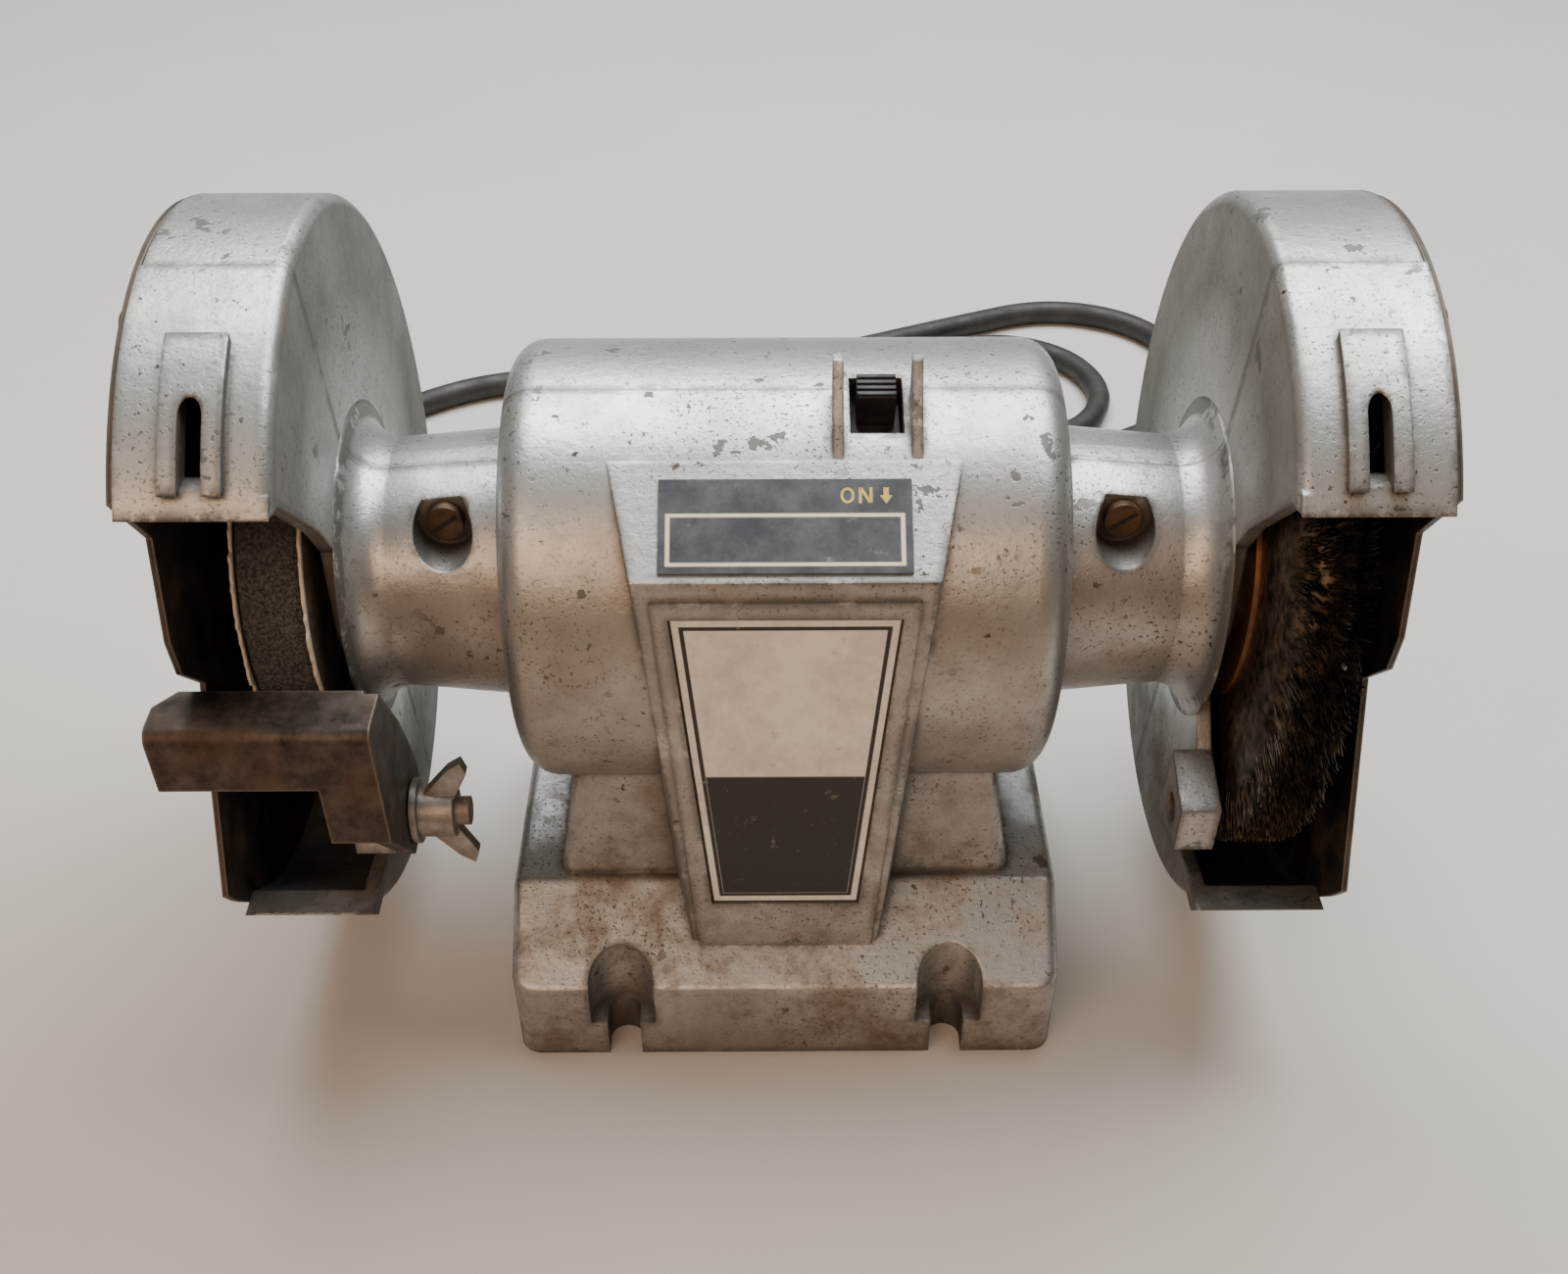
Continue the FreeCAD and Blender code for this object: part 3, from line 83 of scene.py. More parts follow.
# %% Node helper
class NodeSums:
    """Short calls for the plain arithmetic of a node tree."""

    def __init__(self, tree, coords):
        self.tree = tree
        self.coords = tree.nodes.new("ShaderNodeTexCoord").outputs[coords]

    def put(self, socket, value):
        """Set a socket to a constant, or link another node's output to it."""
        if isinstance(value, bpy.types.NodeSocket):
            self.tree.links.new(value, socket)
        else:
            socket.default_value = value

    def put_colour(self, socket, colour):
        """The same for a colour, which gets an alpha of one where it is three numbers."""
        self.put(socket, colour if isinstance(colour, bpy.types.NodeSocket) else (*colour, 1.0))

    def calc(self, kind, first, second=0.0):
        """One sum of any kind that the Math node knows."""
        made = self.tree.nodes.new("ShaderNodeMath")
        made.operation = kind
        self.put(made.inputs[0], first)
        self.put(made.inputs[1], second)
        return made.outputs[0]

    def times(self, first, second):
        """The product: of two masks, what lies in both."""
        return self.calc("MULTIPLY", first, second)

    def larger(self, first, second):
        """The larger value: of two masks, what lies in either."""
        return self.calc("MAXIMUM", first, second)

    def plus(self, first, second):
        """The first value and the second added up."""
        return self.calc("ADD", first, second)

    def minus(self, first, second):
        """The first value less the second."""
        return self.calc("SUBTRACT", first, second)

    def dot(self, first, second):
        """How far two directions agree: one if they are the same, zero if they are square to each other."""
        made = self.tree.nodes.new("ShaderNodeVectorMath")
        made.operation = "DOT_PRODUCT"
        self.put(made.inputs[0], first)
        self.put(made.inputs[1], second)
        return made.outputs["Value"]

    def band(self, value, low, high, start=0.0, stop=1.0):
        """Map value from low..high to start..stop, held at both ends."""
        made = self.tree.nodes.new("ShaderNodeMapRange")
        self.put(made.inputs["Value"], value)
        for key, number in (("From Min", low), ("From Max", high), ("To Min", start), ("To Max", stop)):
            made.inputs[key].default_value = number
        return made.outputs["Result"]

    def mix(self, share, first, second):
        """Go from the first colour to the second as the share goes from zero to one."""
        made = self.tree.nodes.new("ShaderNodeMix")
        made.data_type = "RGBA"
        self.put(made.inputs["Factor"], share)
        self.put_colour(made.inputs["A"], first)
        self.put_colour(made.inputs["B"], second)
        return made.outputs["Result"]


# %% [markdown]
# ### Masks
# Dirt and wear on a real tool follow its shape: dirt sits in corners, and paint wears off edges. Shade
# follows it too, and some masks below paint shade into the colour. A mask painted by hand could show
# that, but these nodes find the places by themselves. All patterns read object coordinates, which are
# the part's own metres, so a noise scale of 100 gives blotches about a centimetre wide.

# %% Finish of one material
wheel_low, wheel_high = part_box("grinding_wheel")
SHAFT_Z = (wheel_low.z + wheel_high.z) / 2
WHEEL_RADIUS = wheel_high.y
CORNER_SAMPLES = 4


class Finish(NodeSums):
    """One material, with the masks that its colours and gloss are mixed by."""

    def __init__(self, name):
        self.material = bpy.data.materials.new(name)
        self.material.use_nodes = True
        super().__init__(self.material.node_tree, "Object")
        self.shader = self.tree.nodes["Principled BSDF"]

    def noise(self, scale, detail=4.0, rough=0.6):
        """Cloudy noise about one half. A larger scale gives smaller clouds."""
        made = self.tree.nodes.new("ShaderNodeTexNoise")
        self.put(made.inputs["Vector"], self.coords)
        made.inputs["Scale"].default_value = scale
        made.inputs["Detail"].default_value = detail
        made.inputs["Roughness"].default_value = rough
        return made.outputs["Fac"]

    def component(self, vector, name):
        """The X, Y or Z number of a vector."""
        made = self.tree.nodes.new("ShaderNodeSeparateXYZ")
        self.put(made.inputs["Vector"], vector)
        return made.outputs[name]

    def axis(self, name):
        """One coordinate of the point, in metres."""
        return self.component(self.coords, name)

    def facing(self, name):
        """One component of the surface direction, in the part's own axes."""
        return self.component(self.coords.node.outputs["Normal"], name)

    def from_shaft(self):
        """Distance from the shaft line: the root of height above it squared plus depth squared."""
        rise = self.minus(self.axis("Z"), SHAFT_Z)
        squares = self.plus(self.calc("POWER", rise, 2.0), self.calc("POWER", self.axis("Y"), 2.0))
        return self.calc("SQRT", squares)

    def rounded(self, radius):
        """The surface direction as if the edges were rounded to this radius."""
        bevel = self.tree.nodes.new("ShaderNodeBevel")
        bevel.samples = CORNER_SAMPLES
        bevel.inputs["Radius"].default_value = radius
        return bevel.outputs["Normal"]

    def edges(self, radius, low=0.02, high=0.12):
        """Mask of the sharp edges, from the difference between the rounded and the true direction."""
        true = self.tree.nodes.new("ShaderNodeNewGeometry").outputs["Normal"]
        return self.band(self.dot(self.rounded(radius), true), 1.0 - low, 1.0 - high)

    def hollows(self, reach, low=0.78, high=0.35):
        """Mask of the inside corners: dirt with a short reach, and painted shade with a long one."""
        shade = self.tree.nodes.new("ShaderNodeAmbientOcclusion")
        shade.samples = CORNER_SAMPLES
        shade.inputs["Distance"].default_value = reach
        return self.band(shade.outputs["AO"], low, high)

    def bump(self, height, strength, distance, radius=None):
        """Fine relief from a height pattern, on edges rounded to the radius if one is given."""
        made = self.tree.nodes.new("ShaderNodeBump")
        made.inputs["Strength"].default_value = strength
        made.inputs["Distance"].default_value = distance
        self.put(made.inputs["Height"], height)
        if radius:
            self.put(made.inputs["Normal"], self.rounded(radius))
        self.put(self.shader.inputs["Normal"], made.outputs["Normal"])

    def finish(self, colour, metallic=0.0, roughness=0.5):
        """Put the last three values on the shader and return the material."""
        self.put_colour(self.shader.inputs["Base Color"], colour)
        self.put(self.shader.inputs["Metallic"], metallic)
        self.put(self.shader.inputs["Roughness"], roughness)
        return self.material


print("shaft height %.4f m, stone radius %.4f m" % (SHAFT_Z, WHEEL_RADIUS))

# %% [markdown]
# ### Silver paint on the castings
# The paint is pitted, blotched brown most near the base and worn to grey metal on the edges, and painted
# shade darkens the faces that look to the front, the flat sides and the deep hollows. One flat colour would
# look like plastic, so each of these is a mask from zero to one that mixes its own colour over the layers
# below. The same masks make the surface rougher and less metallic.

# %% Pits and flecks in the silver
SILVER_DIM = (0.40, 0.405, 0.395)
SILVER_BRIGHT = (0.60, 0.61, 0.60)
PIT_BROWN = (0.07, 0.058, 0.047)


def cloudy_silver(coat, cloud):
    """Two silvers mixed by a cloudy noise."""
    return coat.mix(coat.band(cloud, 0.34, 0.68), SILVER_DIM, SILVER_BRIGHT)


def fine_pits(coat):
    """Peaks of a fine noise, thinned out between patches of a coarse one."""
    patches = coat.band(coat.noise(35, 4), 0.38, 0.62, 0.15, 0.9)
    return coat.times(coat.band(coat.noise(1300, 2, 0.5), 0.60, 0.67), patches)


def large_flecks(coat):
    """Peaks of a middling noise, only inside patches of a coarse one."""
    patches = coat.band(coat.noise(40, 3), 0.44, 0.6)
    return coat.times(coat.band(coat.noise(420, 3, 0.6), 0.64, 0.69), patches)


# %% Brown near the foot, and painted shade on the front and the flat sides
FOOT_BROWN = (0.14, 0.08, 0.042)
FOOT_BROWN_ENDS = 0.085
FOOT_BROWN_FULL = 0.02
# painted warm shade on the faces that look to the front
FRONT_SHADE_BROWN = (0.15, 0.10, 0.066)
# painted shade on the flat sides outside the hub
SIDE_SHADE_GREY = (0.115, 0.110, 0.100)
SIDE_SHADE_STARTS = 0.031
SIDE_SHADE_FULL = 0.056


def brown_near_foot(coat):
    """Broken noise, a fifth of it all over and nearly all of it near the foot."""
    blotch_mask = coat.band(coat.noise(48, 7, 0.75), 0.48, 0.70)
    low = coat.band(coat.axis("Z"), FOOT_BROWN_ENDS, FOOT_BROWN_FULL)
    return coat.times(blotch_mask, coat.plus(coat.times(low, 0.75), 0.2))


def front_painted_shade(coat, cover):
    """Painted shade on what faces the front, as far as the cover noise allows."""
    return coat.times(coat.band(coat.facing("Y"), -0.6, -0.97), coat.band(cover, 0.3, 0.7, 0.15, 0.6))


def side_painted_shade(coat, cover):
    """Painted shade on what faces along the shaft and lies outside the hub, as far as the cover noise
    allows.
    """
    sideways = coat.band(coat.calc("ABSOLUTE", coat.facing("X")), 0.8, 0.98)
    flat = coat.times(sideways, coat.band(coat.from_shaft(), SIDE_SHADE_STARTS, SIDE_SHADE_FULL))
    return coat.times(flat, coat.band(cover, 0.25, 0.75, 0.66, 0.92))


# %% Dirt in the corners, painted shade in deep hollows and metal at the edges
# painted shade: near black where a long ambient occlusion finds deep hollows, such as inside the guards
PAINTED_SHADE_BLACK = (0.02, 0.015, 0.011)
PAINTED_SHADE_REACH = 0.035
DIRT_BROWN = (0.085, 0.05, 0.028)
DIRT_REACH = 0.008
BARE_METAL = (0.11, 0.106, 0.098)
WORN_EDGE = 0.003


def corner_dirt(coat):
    """Narrow inside corners, broken up by noise."""
    return coat.times(coat.hollows(DIRT_REACH), coat.band(coat.noise(130, 5, 0.7), 0.34, 0.6, 0.25, 0.9))


def worn_through(coat):
    """Sharp edges where a noise lets the paint chip, and a few loose spots."""
    chips = coat.band(coat.noise(75, 5, 0.7), 0.42, 0.5)
    worn = coat.times(coat.edges(WORN_EDGE, 0.008, 0.05), chips)
    patches = coat.band(coat.noise(16, 2), 0.45, 0.55)
    spots = coat.times(coat.band(coat.noise(115, 4, 0.65), 0.63, 0.645), patches)
    return coat.larger(worn, spots)


# %% Casting paint from its layers
def casting_paint():
    """Silver with each layer mixed over it, gloss lost by the sum of the masks and metal by the largest."""
    coat = Finish("silver_casting_paint")
    cloud = coat.noise(22, 6, 0.7)
    cover = coat.noise(60, 5, 0.7)
    pits = fine_pits(coat)
    near_foot = brown_near_foot(coat)
    front_shade = front_painted_shade(coat, cover)
    side_shade = side_painted_shade(coat, cover)
    dirt = corner_dirt(coat)
    bare = worn_through(coat)
    # the front, flat-side and deep-hollow layers are painted shade
    layers = [(coat.larger(pits, large_flecks(coat)), PIT_BROWN), (near_foot, FOOT_BROWN), (front_shade, FRONT_SHADE_BROWN),
              (side_shade, SIDE_SHADE_GREY), (coat.hollows(PAINTED_SHADE_REACH, 0.5, 0.15), PAINTED_SHADE_BLACK), (dirt, DIRT_BROWN),
              (coat.times(bare, 0.92), BARE_METAL)]
    tone = cloudy_silver(coat, cloud)
    for mask, colour in layers:
        tone = coat.mix(mask, tone, colour)
    height = coat.plus(coat.noise(420, 4, 0.65), coat.times(coat.larger(bare, pits), -0.5))
    coat.bump(height, 0.3, 0.0004, 0.0009)
    rough = coat.band(cloud, 0.3, 0.7, 0.42, 0.30)
    for mask, share in ((near_foot, 0.4), (bare, 0.15), (side_shade, 0.35)):
        rough = coat.plus(rough, coat.times(mask, share))
    dull = coat.times(bare, 0.6)
    for mask in (near_foot, front_shade, dirt, side_shade):
        dull = coat.larger(dull, mask)
    return coat.finish(tone, coat.minus(0.85, coat.times(dull, 0.7)), rough)


paint = casting_paint()
print(paint.name + ":", len(paint.node_tree.nodes), "nodes")

# %% [markdown]
# ### Steel
# The covers, screws, tool rest and shaft are bare or blackened metal with rust in patches, and the
# motor inside has copper. Each could have nodes of its own, but they differ only in tone, in how much
# rust they carry and in whether their edges are rubbed bright, so one function makes them all.

# %% Steel and other bare metals
def steel(name, light, dark, rust, share, rough=0.42, edge=None):
    """Two tones mixed by noise, rust in patches of it and, if asked, bright worn edges."""
    coat = Finish(name)
    tone = coat.mix(coat.band(coat.noise(140, 5, 0.7), 0.36, 0.66), dark, light)
    patches = coat.times(coat.band(coat.noise(75, 6, 0.72), 0.46, 0.66), share)
    tone = coat.mix(patches, tone, rust)
    if edge:
        tone = coat.mix(coat.times(coat.edges(0.0009), 0.7), tone, edge)
    coat.bump(coat.noise(420, 5, 0.7), 0.2, 0.0004, 0.0005)
    return coat.finish(tone, coat.band(patches, 0, 1, 0.85, 0.35), coat.band(patches, 0, 1, rough, 0.75))


dark_sheet = steel("dark_sheet", light=(0.085, 0.075, 0.066), dark=(0.04, 0.034, 0.029),
                   rust=(0.105, 0.062, 0.034), share=0.7, rough=0.5, edge=(0.30, 0.27, 0.24))
plain_steel = steel("dull_steel", light=(0.42, 0.40, 0.37), dark=(0.22, 0.21, 0.195),
                    rust=(0.22, 0.125, 0.065), share=0.5)
core_steel = steel("core_steel", light=(0.34, 0.33, 0.32), dark=(0.2, 0.2, 0.2),
                   rust=(0.15, 0.1, 0.07), share=0.2)
rest_steel = steel("rusted_rest", light=(0.115, 0.095, 0.08), dark=(0.035, 0.028, 0.024),
                   rust=(0.105, 0.062, 0.036), share=0.6, rough=0.5, edge=(0.30, 0.25, 0.20))
rusty_screw = steel("rusty_screw", light=(0.12, 0.085, 0.055), dark=(0.045, 0.032, 0.022),
                    rust=(0.17, 0.085, 0.035), share=0.8, rough=0.5)
copper_sheet = steel("copper_sheet", light=(0.40, 0.21, 0.115), dark=(0.22, 0.115, 0.065),
                     rust=(0.14, 0.08, 0.045), share=0.5)
brass_sheet = steel("brass_blades", light=(0.62, 0.52, 0.30), dark=(0.45, 0.37, 0.20),
                    rust=(0.25, 0.19, 0.10), share=0.25, rough=0.35)
print("made:", dark_sheet.name, plain_steel.name, core_steel.name, rest_steel.name, rusty_screw.name)
print("made:", copper_sheet.name, brass_sheet.name)

# %% [markdown]
# ### Rubber and wire
# The cord and its plug are dull black rubber that holds dust, the knob a darker plastic, and the
# bristles dark brown wire. All are small in the picture, so each is two tones and a little unevenness
# in its gloss.

# %% Rubber and wire
RUBBER_BLACK = (0.022, 0.021, 0.020)
RUBBER_DUST = (0.075, 0.068, 0.06)
PLASTIC_BLACK = (0.012, 0.012, 0.012)
WIRE_DARK = (0.016, 0.012, 0.009)
WIRE_BROWN = (0.17, 0.13, 0.092)


def rubber(name, tone=RUBBER_BLACK):
    """One dark tone with dust in patches of noise, over a very fine grain."""
    coat = Finish(name)
    dusty = coat.band(coat.noise(90, 5, 0.7), 0.45, 0.75, 0.0, 0.6)
    coat.bump(coat.noise(900, 3), 0.25, 0.0002, 0.0004)
    rough = coat.band(coat.noise(160, 3), 0.3, 0.7, 0.45, 0.68)
    return coat.finish(coat.mix(dusty, tone, RUBBER_DUST), 0.0, rough)


def wire():
    """Dark and light brown metal, mixed by noise a few wires wide."""
    coat = Finish("crimped_wire")
    tone = coat.mix(coat.band(coat.noise(330, 4), 0.36, 0.66), WIRE_DARK, WIRE_BROWN)
    return coat.finish(tone, 0.8, coat.band(coat.noise(500, 2), 0.3, 0.7, 0.35, 0.6))


black_plastic = rubber("black_plastic", PLASTIC_BLACK)
cord_rubber = rubber("cord_rubber")
wire_steel = wire()
print("made:", black_plastic.name, cord_rubber.name, wire_steel.name)

# %% [markdown]
# ### Grit and paper
# The grinding wheel is dark grit bonded into a stone, with a brown paper disc on each side whose torn
# rim is pale. A photograph of a stone would do for the grit, but a very fine noise that drives both
# colour and relief gives the same sparkle. The paper turns pale by its distance from the shaft.

# %% Grit and paper
GRIT_DARK = (0.018, 0.017, 0.016)
GRIT_LIGHT = (0.125, 0.118, 0.11)
GRIT_DIRT = (0.06, 0.042, 0.028)
PAPER_DARK = (0.05, 0.035, 0.022)
PAPER_BROWN = (0.16, 0.11, 0.065)
PAPER_PALE = (0.66, 0.60, 0.49)
PALE_STARTS = WHEEL_RADIUS - 0.0008
PALE_FULL = WHEEL_RADIUS - 0.0001


def grit():
    """Light grains on dark by a fine noise, which is also the height of the relief."""
    coat = Finish("bonded_grit")
    grain = coat.noise(1500, 3, 0.7)
    tone = coat.mix(coat.band(grain, 0.38, 0.64), GRIT_DARK, GRIT_LIGHT)
    tone = coat.mix(coat.band(coat.noise(60, 4), 0.5, 0.75, 0.0, 0.5), tone, GRIT_DIRT)
    coat.bump(grain, 0.75, 0.0006)
    return coat.finish(tone, 0.0, 0.88)


def paper():
    """Two browns mixed by noise, and a pale tone past the edge of the stone."""
    coat = Finish("blotter_paper")
    tone = coat.mix(coat.band(coat.noise(210, 5, 0.7), 0.35, 0.68), PAPER_DARK, PAPER_BROWN)
    tone = coat.mix(coat.band(coat.from_shaft(), PALE_STARTS, PALE_FULL), tone, PAPER_PALE)
    coat.bump(coat.noise(700, 4), 0.4, 0.0003)
    return coat.finish(tone, 0.0, 0.92)


stone_grit = grit()
torn_paper = paper()
print("made:", stone_grit.name, torn_paper.name)

# %% [markdown]
# ### Printed plates
# The column carries a pale sheet with a line border and a dark lower block, and the shelf a dark sheet
# with a pale border. A thin mesh for each line would work too, but a print has no thickness, so the
# lines are masks: a rectangle is the product of four soft steps, and a border is one rectangle less a
# smaller one.

# %% Nameplate
nameplate_low, nameplate_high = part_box("nameplate")
SHEET_PALE = (0.82, 0.81, 0.77)
SHEET_YELLOWED = (0.62, 0.58, 0.50)
PRINT_BLACK = (0.025, 0.023, 0.021)
SCUFF_BROWN = (0.33, 0.29, 0.23)
NAMEPLATE_FOOT_HALF = 0.0154
BLOCK_TOP = 0.0760
BLOCK_SOFT = 0.0002
PRINT_SOFT = 0.00012
# insets of the printed line's two edges, from the plate's sides and from its ends
LINE_OUTSIDE = (0.0013, 0.0014)
LINE_INSIDE = (0.0022, 0.0023)
# a distance that no point of the plate reaches
FAR = 1.0


def box_mask(coat, across, up, low_a, high_a, low_u, high_u):
    """One inside a rectangle of two coordinates, zero outside: the product of a soft step at each side."""
    mask = coat.band(across, low_a - PRINT_SOFT, low_a + PRINT_SOFT)
    for value, edge, way in ((across, high_a, -1), (up, low_u, 1), (up, high_u, -1)):
        mask = coat.times(mask, coat.band(value, edge - way * PRINT_SOFT, edge + way * PRINT_SOFT))
    return mask


def nameplate_inset(coat, side, up, insets):
    """The plate's own outline, drawn in by one inset at the sides and another at the ends."""
    at_sides, at_ends = insets
    return box_mask(coat, side, up, at_sides, FAR, nameplate_low.z + at_ends, nameplate_high.z - at_ends)


def nameplate_finish():
    """Pale sheet, dark line and block. Sideways a point is measured in from the slanting side."""
    coat = Finish("printed_nameplate")
    up = coat.axis("Z")
    half_width = coat.band(up, nameplate_low.z, nameplate_high.z, NAMEPLATE_FOOT_HALF, nameplate_high.x)
    side = coat.minus(half_width, coat.calc("ABSOLUTE", coat.axis("X")))
    inner = nameplate_inset(coat, side, up, LINE_INSIDE)
    outer = nameplate_inset(coat, side, up, LINE_OUTSIDE)
    block = coat.times(inner, coat.band(up, BLOCK_TOP + BLOCK_SOFT, BLOCK_TOP - BLOCK_SOFT))
    pale = coat.mix(coat.band(coat.noise(120, 5, 0.7), 0.4, 0.72), SHEET_PALE, SHEET_YELLOWED)
    tone = coat.mix(coat.larger(coat.minus(outer, inner), block), pale, PRINT_BLACK)
    scuffs = coat.times(coat.band(coat.noise(260, 6, 0.75), 0.60, 0.70), 0.7)
    tone = coat.mix(scuffs, tone, SCUFF_BROWN)
    coat.bump(coat.noise(150, 4), 0.12, 0.0005)
    return coat.finish(tone, 0.15, 0.42)


plate_print = nameplate_finish()
print("nameplate from %.4f to %.4f m up" % (nameplate_low.z, nameplate_high.z))

# %% Switch plate
SHEET_DARK = (0.035, 0.042, 0.052)
SHEET_FADED = (0.10, 0.105, 0.11)
SCUFF_GREY = (0.30, 0.28, 0.25)
BORDER_PALE = (0.78, 0.72, 0.52)
# left, right, front and back, in metres
BORDER_OUTSIDE = (-0.0222, 0.0222, -0.0433, -0.0343)
BORDER_INSIDE = (-0.0214, 0.0214, -0.0427, -0.0349)


def switch_plate_finish():
    """Dark sheet with a pale border between two rectangles, and scuffs where noise peaks."""
    coat = Finish("printed_switch_plate")
    across = coat.axis("X")
    depth = coat.axis("Y")
    outer = box_mask(coat, across, depth, *BORDER_OUTSIDE)
    inner = box_mask(coat, across, depth, *BORDER_INSIDE)
    dark = coat.mix(coat.band(coat.noise(130, 5, 0.7), 0.4, 0.72), SHEET_DARK, SHEET_FADED)
    tone = coat.mix(coat.minus(outer, inner), dark, BORDER_PALE)
    tone = coat.mix(coat.band(coat.noise(300, 6, 0.75), 0.62, 0.72, 0.0, 0.6), tone, SCUFF_GREY)
    return coat.finish(tone, 0.25, coat.band(coat.noise(90, 3), 0.3, 0.7, 0.28, 0.45))


switch_print = switch_plate_finish()
print("made:", switch_print.name)

# %% [markdown]
# ### One material for each slot
# The record gives every piece a material slot. Each piece could be dressed by hand, but a dictionary
# from slot to finish does all the CAD nodes in one loop. The screws are the one exception: they are
# rustier than the other plain steel.

# %% Give each CAD node its slot's finish
FINISHES = {
    "casting_paint": paint, "cover_steel": dark_sheet, "plain_steel": plain_steel, "rest_steel": rest_steel,
    "nameplate_sheet": plate_print, "switch_sheet": switch_print, "core_steel": core_steel,
    "winding_copper": copper_sheet, "wheel_grit": stone_grit, "blotter_paper": torn_paper,
    "brush_plate_copper": copper_sheet, "wire_fill": wire_steel, "switch_black": black_plastic,
    "cord_rubber": cord_rubber, "blade_brass": brass_sheet,
}
dressed = 0
for part in frame["record"]["subparts"]:
    item = nodes.get(part["node"])
    if item:
        item.data.materials.clear()
        rusty = part["node"].endswith(("_screw", "_screws"))
        item.data.materials.append(rusty_screw if rusty else FINISHES[part["material_slot"]])
        dressed += 1
print("dressed:", dressed, "nodes in", len(FINISHES), "slots")


# %% [markdown]
# ## Turned pieces
# The stone, its paper discs and the middle of the wire wheel are all round about the shaft, but worn or
# ragged. Blender's Spin tool could turn a profile, but each point here also gets its own random radius,
# so the rings are worked out as arrays. One more helper makes an object of any such arrays and gives it
# its body.

# %% Mesh and lathe
def mesh_piece(name, points, faces, finish, body, slot, smooth=True):
    """An object from an array of points and one of faces, which rides a body of the frame."""
    mesh = bpy.data.meshes.new(name)
    mesh.from_pydata(np.asarray(points).tolist(), [], faces.tolist())
    mesh.validate()
    mesh.materials.append(finish)
    if smooth:
        mesh.shade_smooth()
    made = bpy.data.objects.new(name, mesh)
    bpy.context.scene.collection.objects.link(made)
    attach(made, body)
    print(name + ":", len(mesh.vertices), "points,", len(mesh.polygons), "faces on", body)
    return made


def two_sided(side, left, right, middle=()):
    """Closed profile: one side's (inset, radius) points, the middle ones, and the side mirrored."""
    near = [(left + inset, radius) for inset, radius in side]
    far = [(right - inset, radius) for inset, radius in reversed(side)]
    return np.array([*near, *middle, *far])


def lathe(profile, steps, ragged):
    """Turn a closed profile about the shaft: at angle t, (x, r) goes to (x, r sin t, shaft + r cos t).

    ragged scales the radius at each step and profile point.
    """
    turn = np.linspace(0, 2 * np.pi, steps, endpoint=False)[:, None]
    count = len(profile)
    across = np.broadcast_to(profile[:, 0], (steps, count))
    radius = profile[:, 1] * ragged
    points = np.stack([across, radius * np.sin(turn), SHAFT_Z + radius * np.cos(turn)], axis=-1)
    ring, spot = np.indices((steps, count))
    after_ring = (ring + 1) % steps * count
    after_spot = (spot + 1) % count
    ring = ring * count
    faces = np.stack([ring + spot, after_ring + spot, after_ring + after_spot, ring + after_spot], axis=-1)
    return points.reshape(-1, 3), faces.reshape(-1, 4)


# %% [markdown]
# ## Wire wheel
# The real wheel is a thick mat of crimped wires clamped between two plates. A bump on a plain disc
# would show a smooth rim. Hair particles could give wires, but one mesh exports and turns with the
# rotor as any piece does. So every wire is a three-sided tube along its own wavy line, all worked out
# at once, and a dark ragged core behind them closes the gaps.

# %% Core of the wire wheel
BRUSH_FLARE = 0.0016
CORE_SIDE = [(0.0, 0.0075), (0.0, 0.029), (-0.0006, 0.050), (0.002, 0.0545)]
CORE_STEPS = 160
CORE_RAGGED = 0.012
brush_low, brush_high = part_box("wire_bristles")
brush_left = brush_low.x + BRUSH_FLARE
brush_right = brush_high.x - BRUSH_FLARE
core_profile = two_sided(CORE_SIDE, brush_left, brush_right)
core_ragged = 1 + CORE_RAGGED * rng.standard_normal((CORE_STEPS, len(core_profile)))
core_shape = lathe(core_profile, CORE_STEPS, core_ragged)
brush_core = mesh_piece("wire_core", *core_shape, wire_steel, "rotor", "wire_fill")
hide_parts("wire_bristles")

# %% Lines of the wires
WIRES = 6000
STATIONS = 6
WIRE_ROOT = 0.027
WIRE_TIP = brush_high.y + 0.0005
WIRE_SHORTFALL = 0.0022
WAVE_HEIGHT = 0.00075
WAVES = 2.6
MAT_SHARE = 0.93
RIM_SPREAD = 0.0011
OVERHANG = 0.0015
TIP_SWING = 0.02
# how fast the two shares of the wave change from lane to lane
SIDE_CHANGE = 9
RIM_CHANGE = 7


def wire_lines():
    """Place across, angle and radius at each station of each wire.

    The radius grows evenly from root to tip. A sine wave moves the wire partly sideways and partly round
    the shaft, by shares that its lane gives, and the mat spreads with the square of the way out.
    """
    along = np.linspace(0, 1, STATIONS)
    angle = rng.uniform(0, 2 * np.pi, WIRES)[:, None]
    lane = rng.uniform(-1, 1, WIRES)[:, None]
    reach = WIRE_TIP - WIRE_SHORTFALL * rng.random(WIRES)[:, None] ** 2
    radius = WIRE_ROOT + (reach - WIRE_ROOT) * along
    wave = WAVE_HEIGHT * np.sin(2 * np.pi * (WAVES * along + rng.random(WIRES)[:, None]))
    middle = (brush_left + brush_right) / 2
    half = (brush_right - brush_left) / 2
    spread = lane * (half * MAT_SHARE + RIM_SPREAD * along ** 2)
    across = middle + spread + wave * np.sin(SIDE_CHANGE * lane)
    across = np.clip(across, brush_left - OVERHANG, brush_right + OVERHANG)
    stray = TIP_SWING * rng.standard_normal(WIRES)[:, None] * along
    swing = angle + wave * np.cos(RIM_CHANGE * lane) / radius + stray
    return across, swing, radius


# %% Tubes round the lines
WIRE_RADIUS = 0.00021
CORNERS = 3


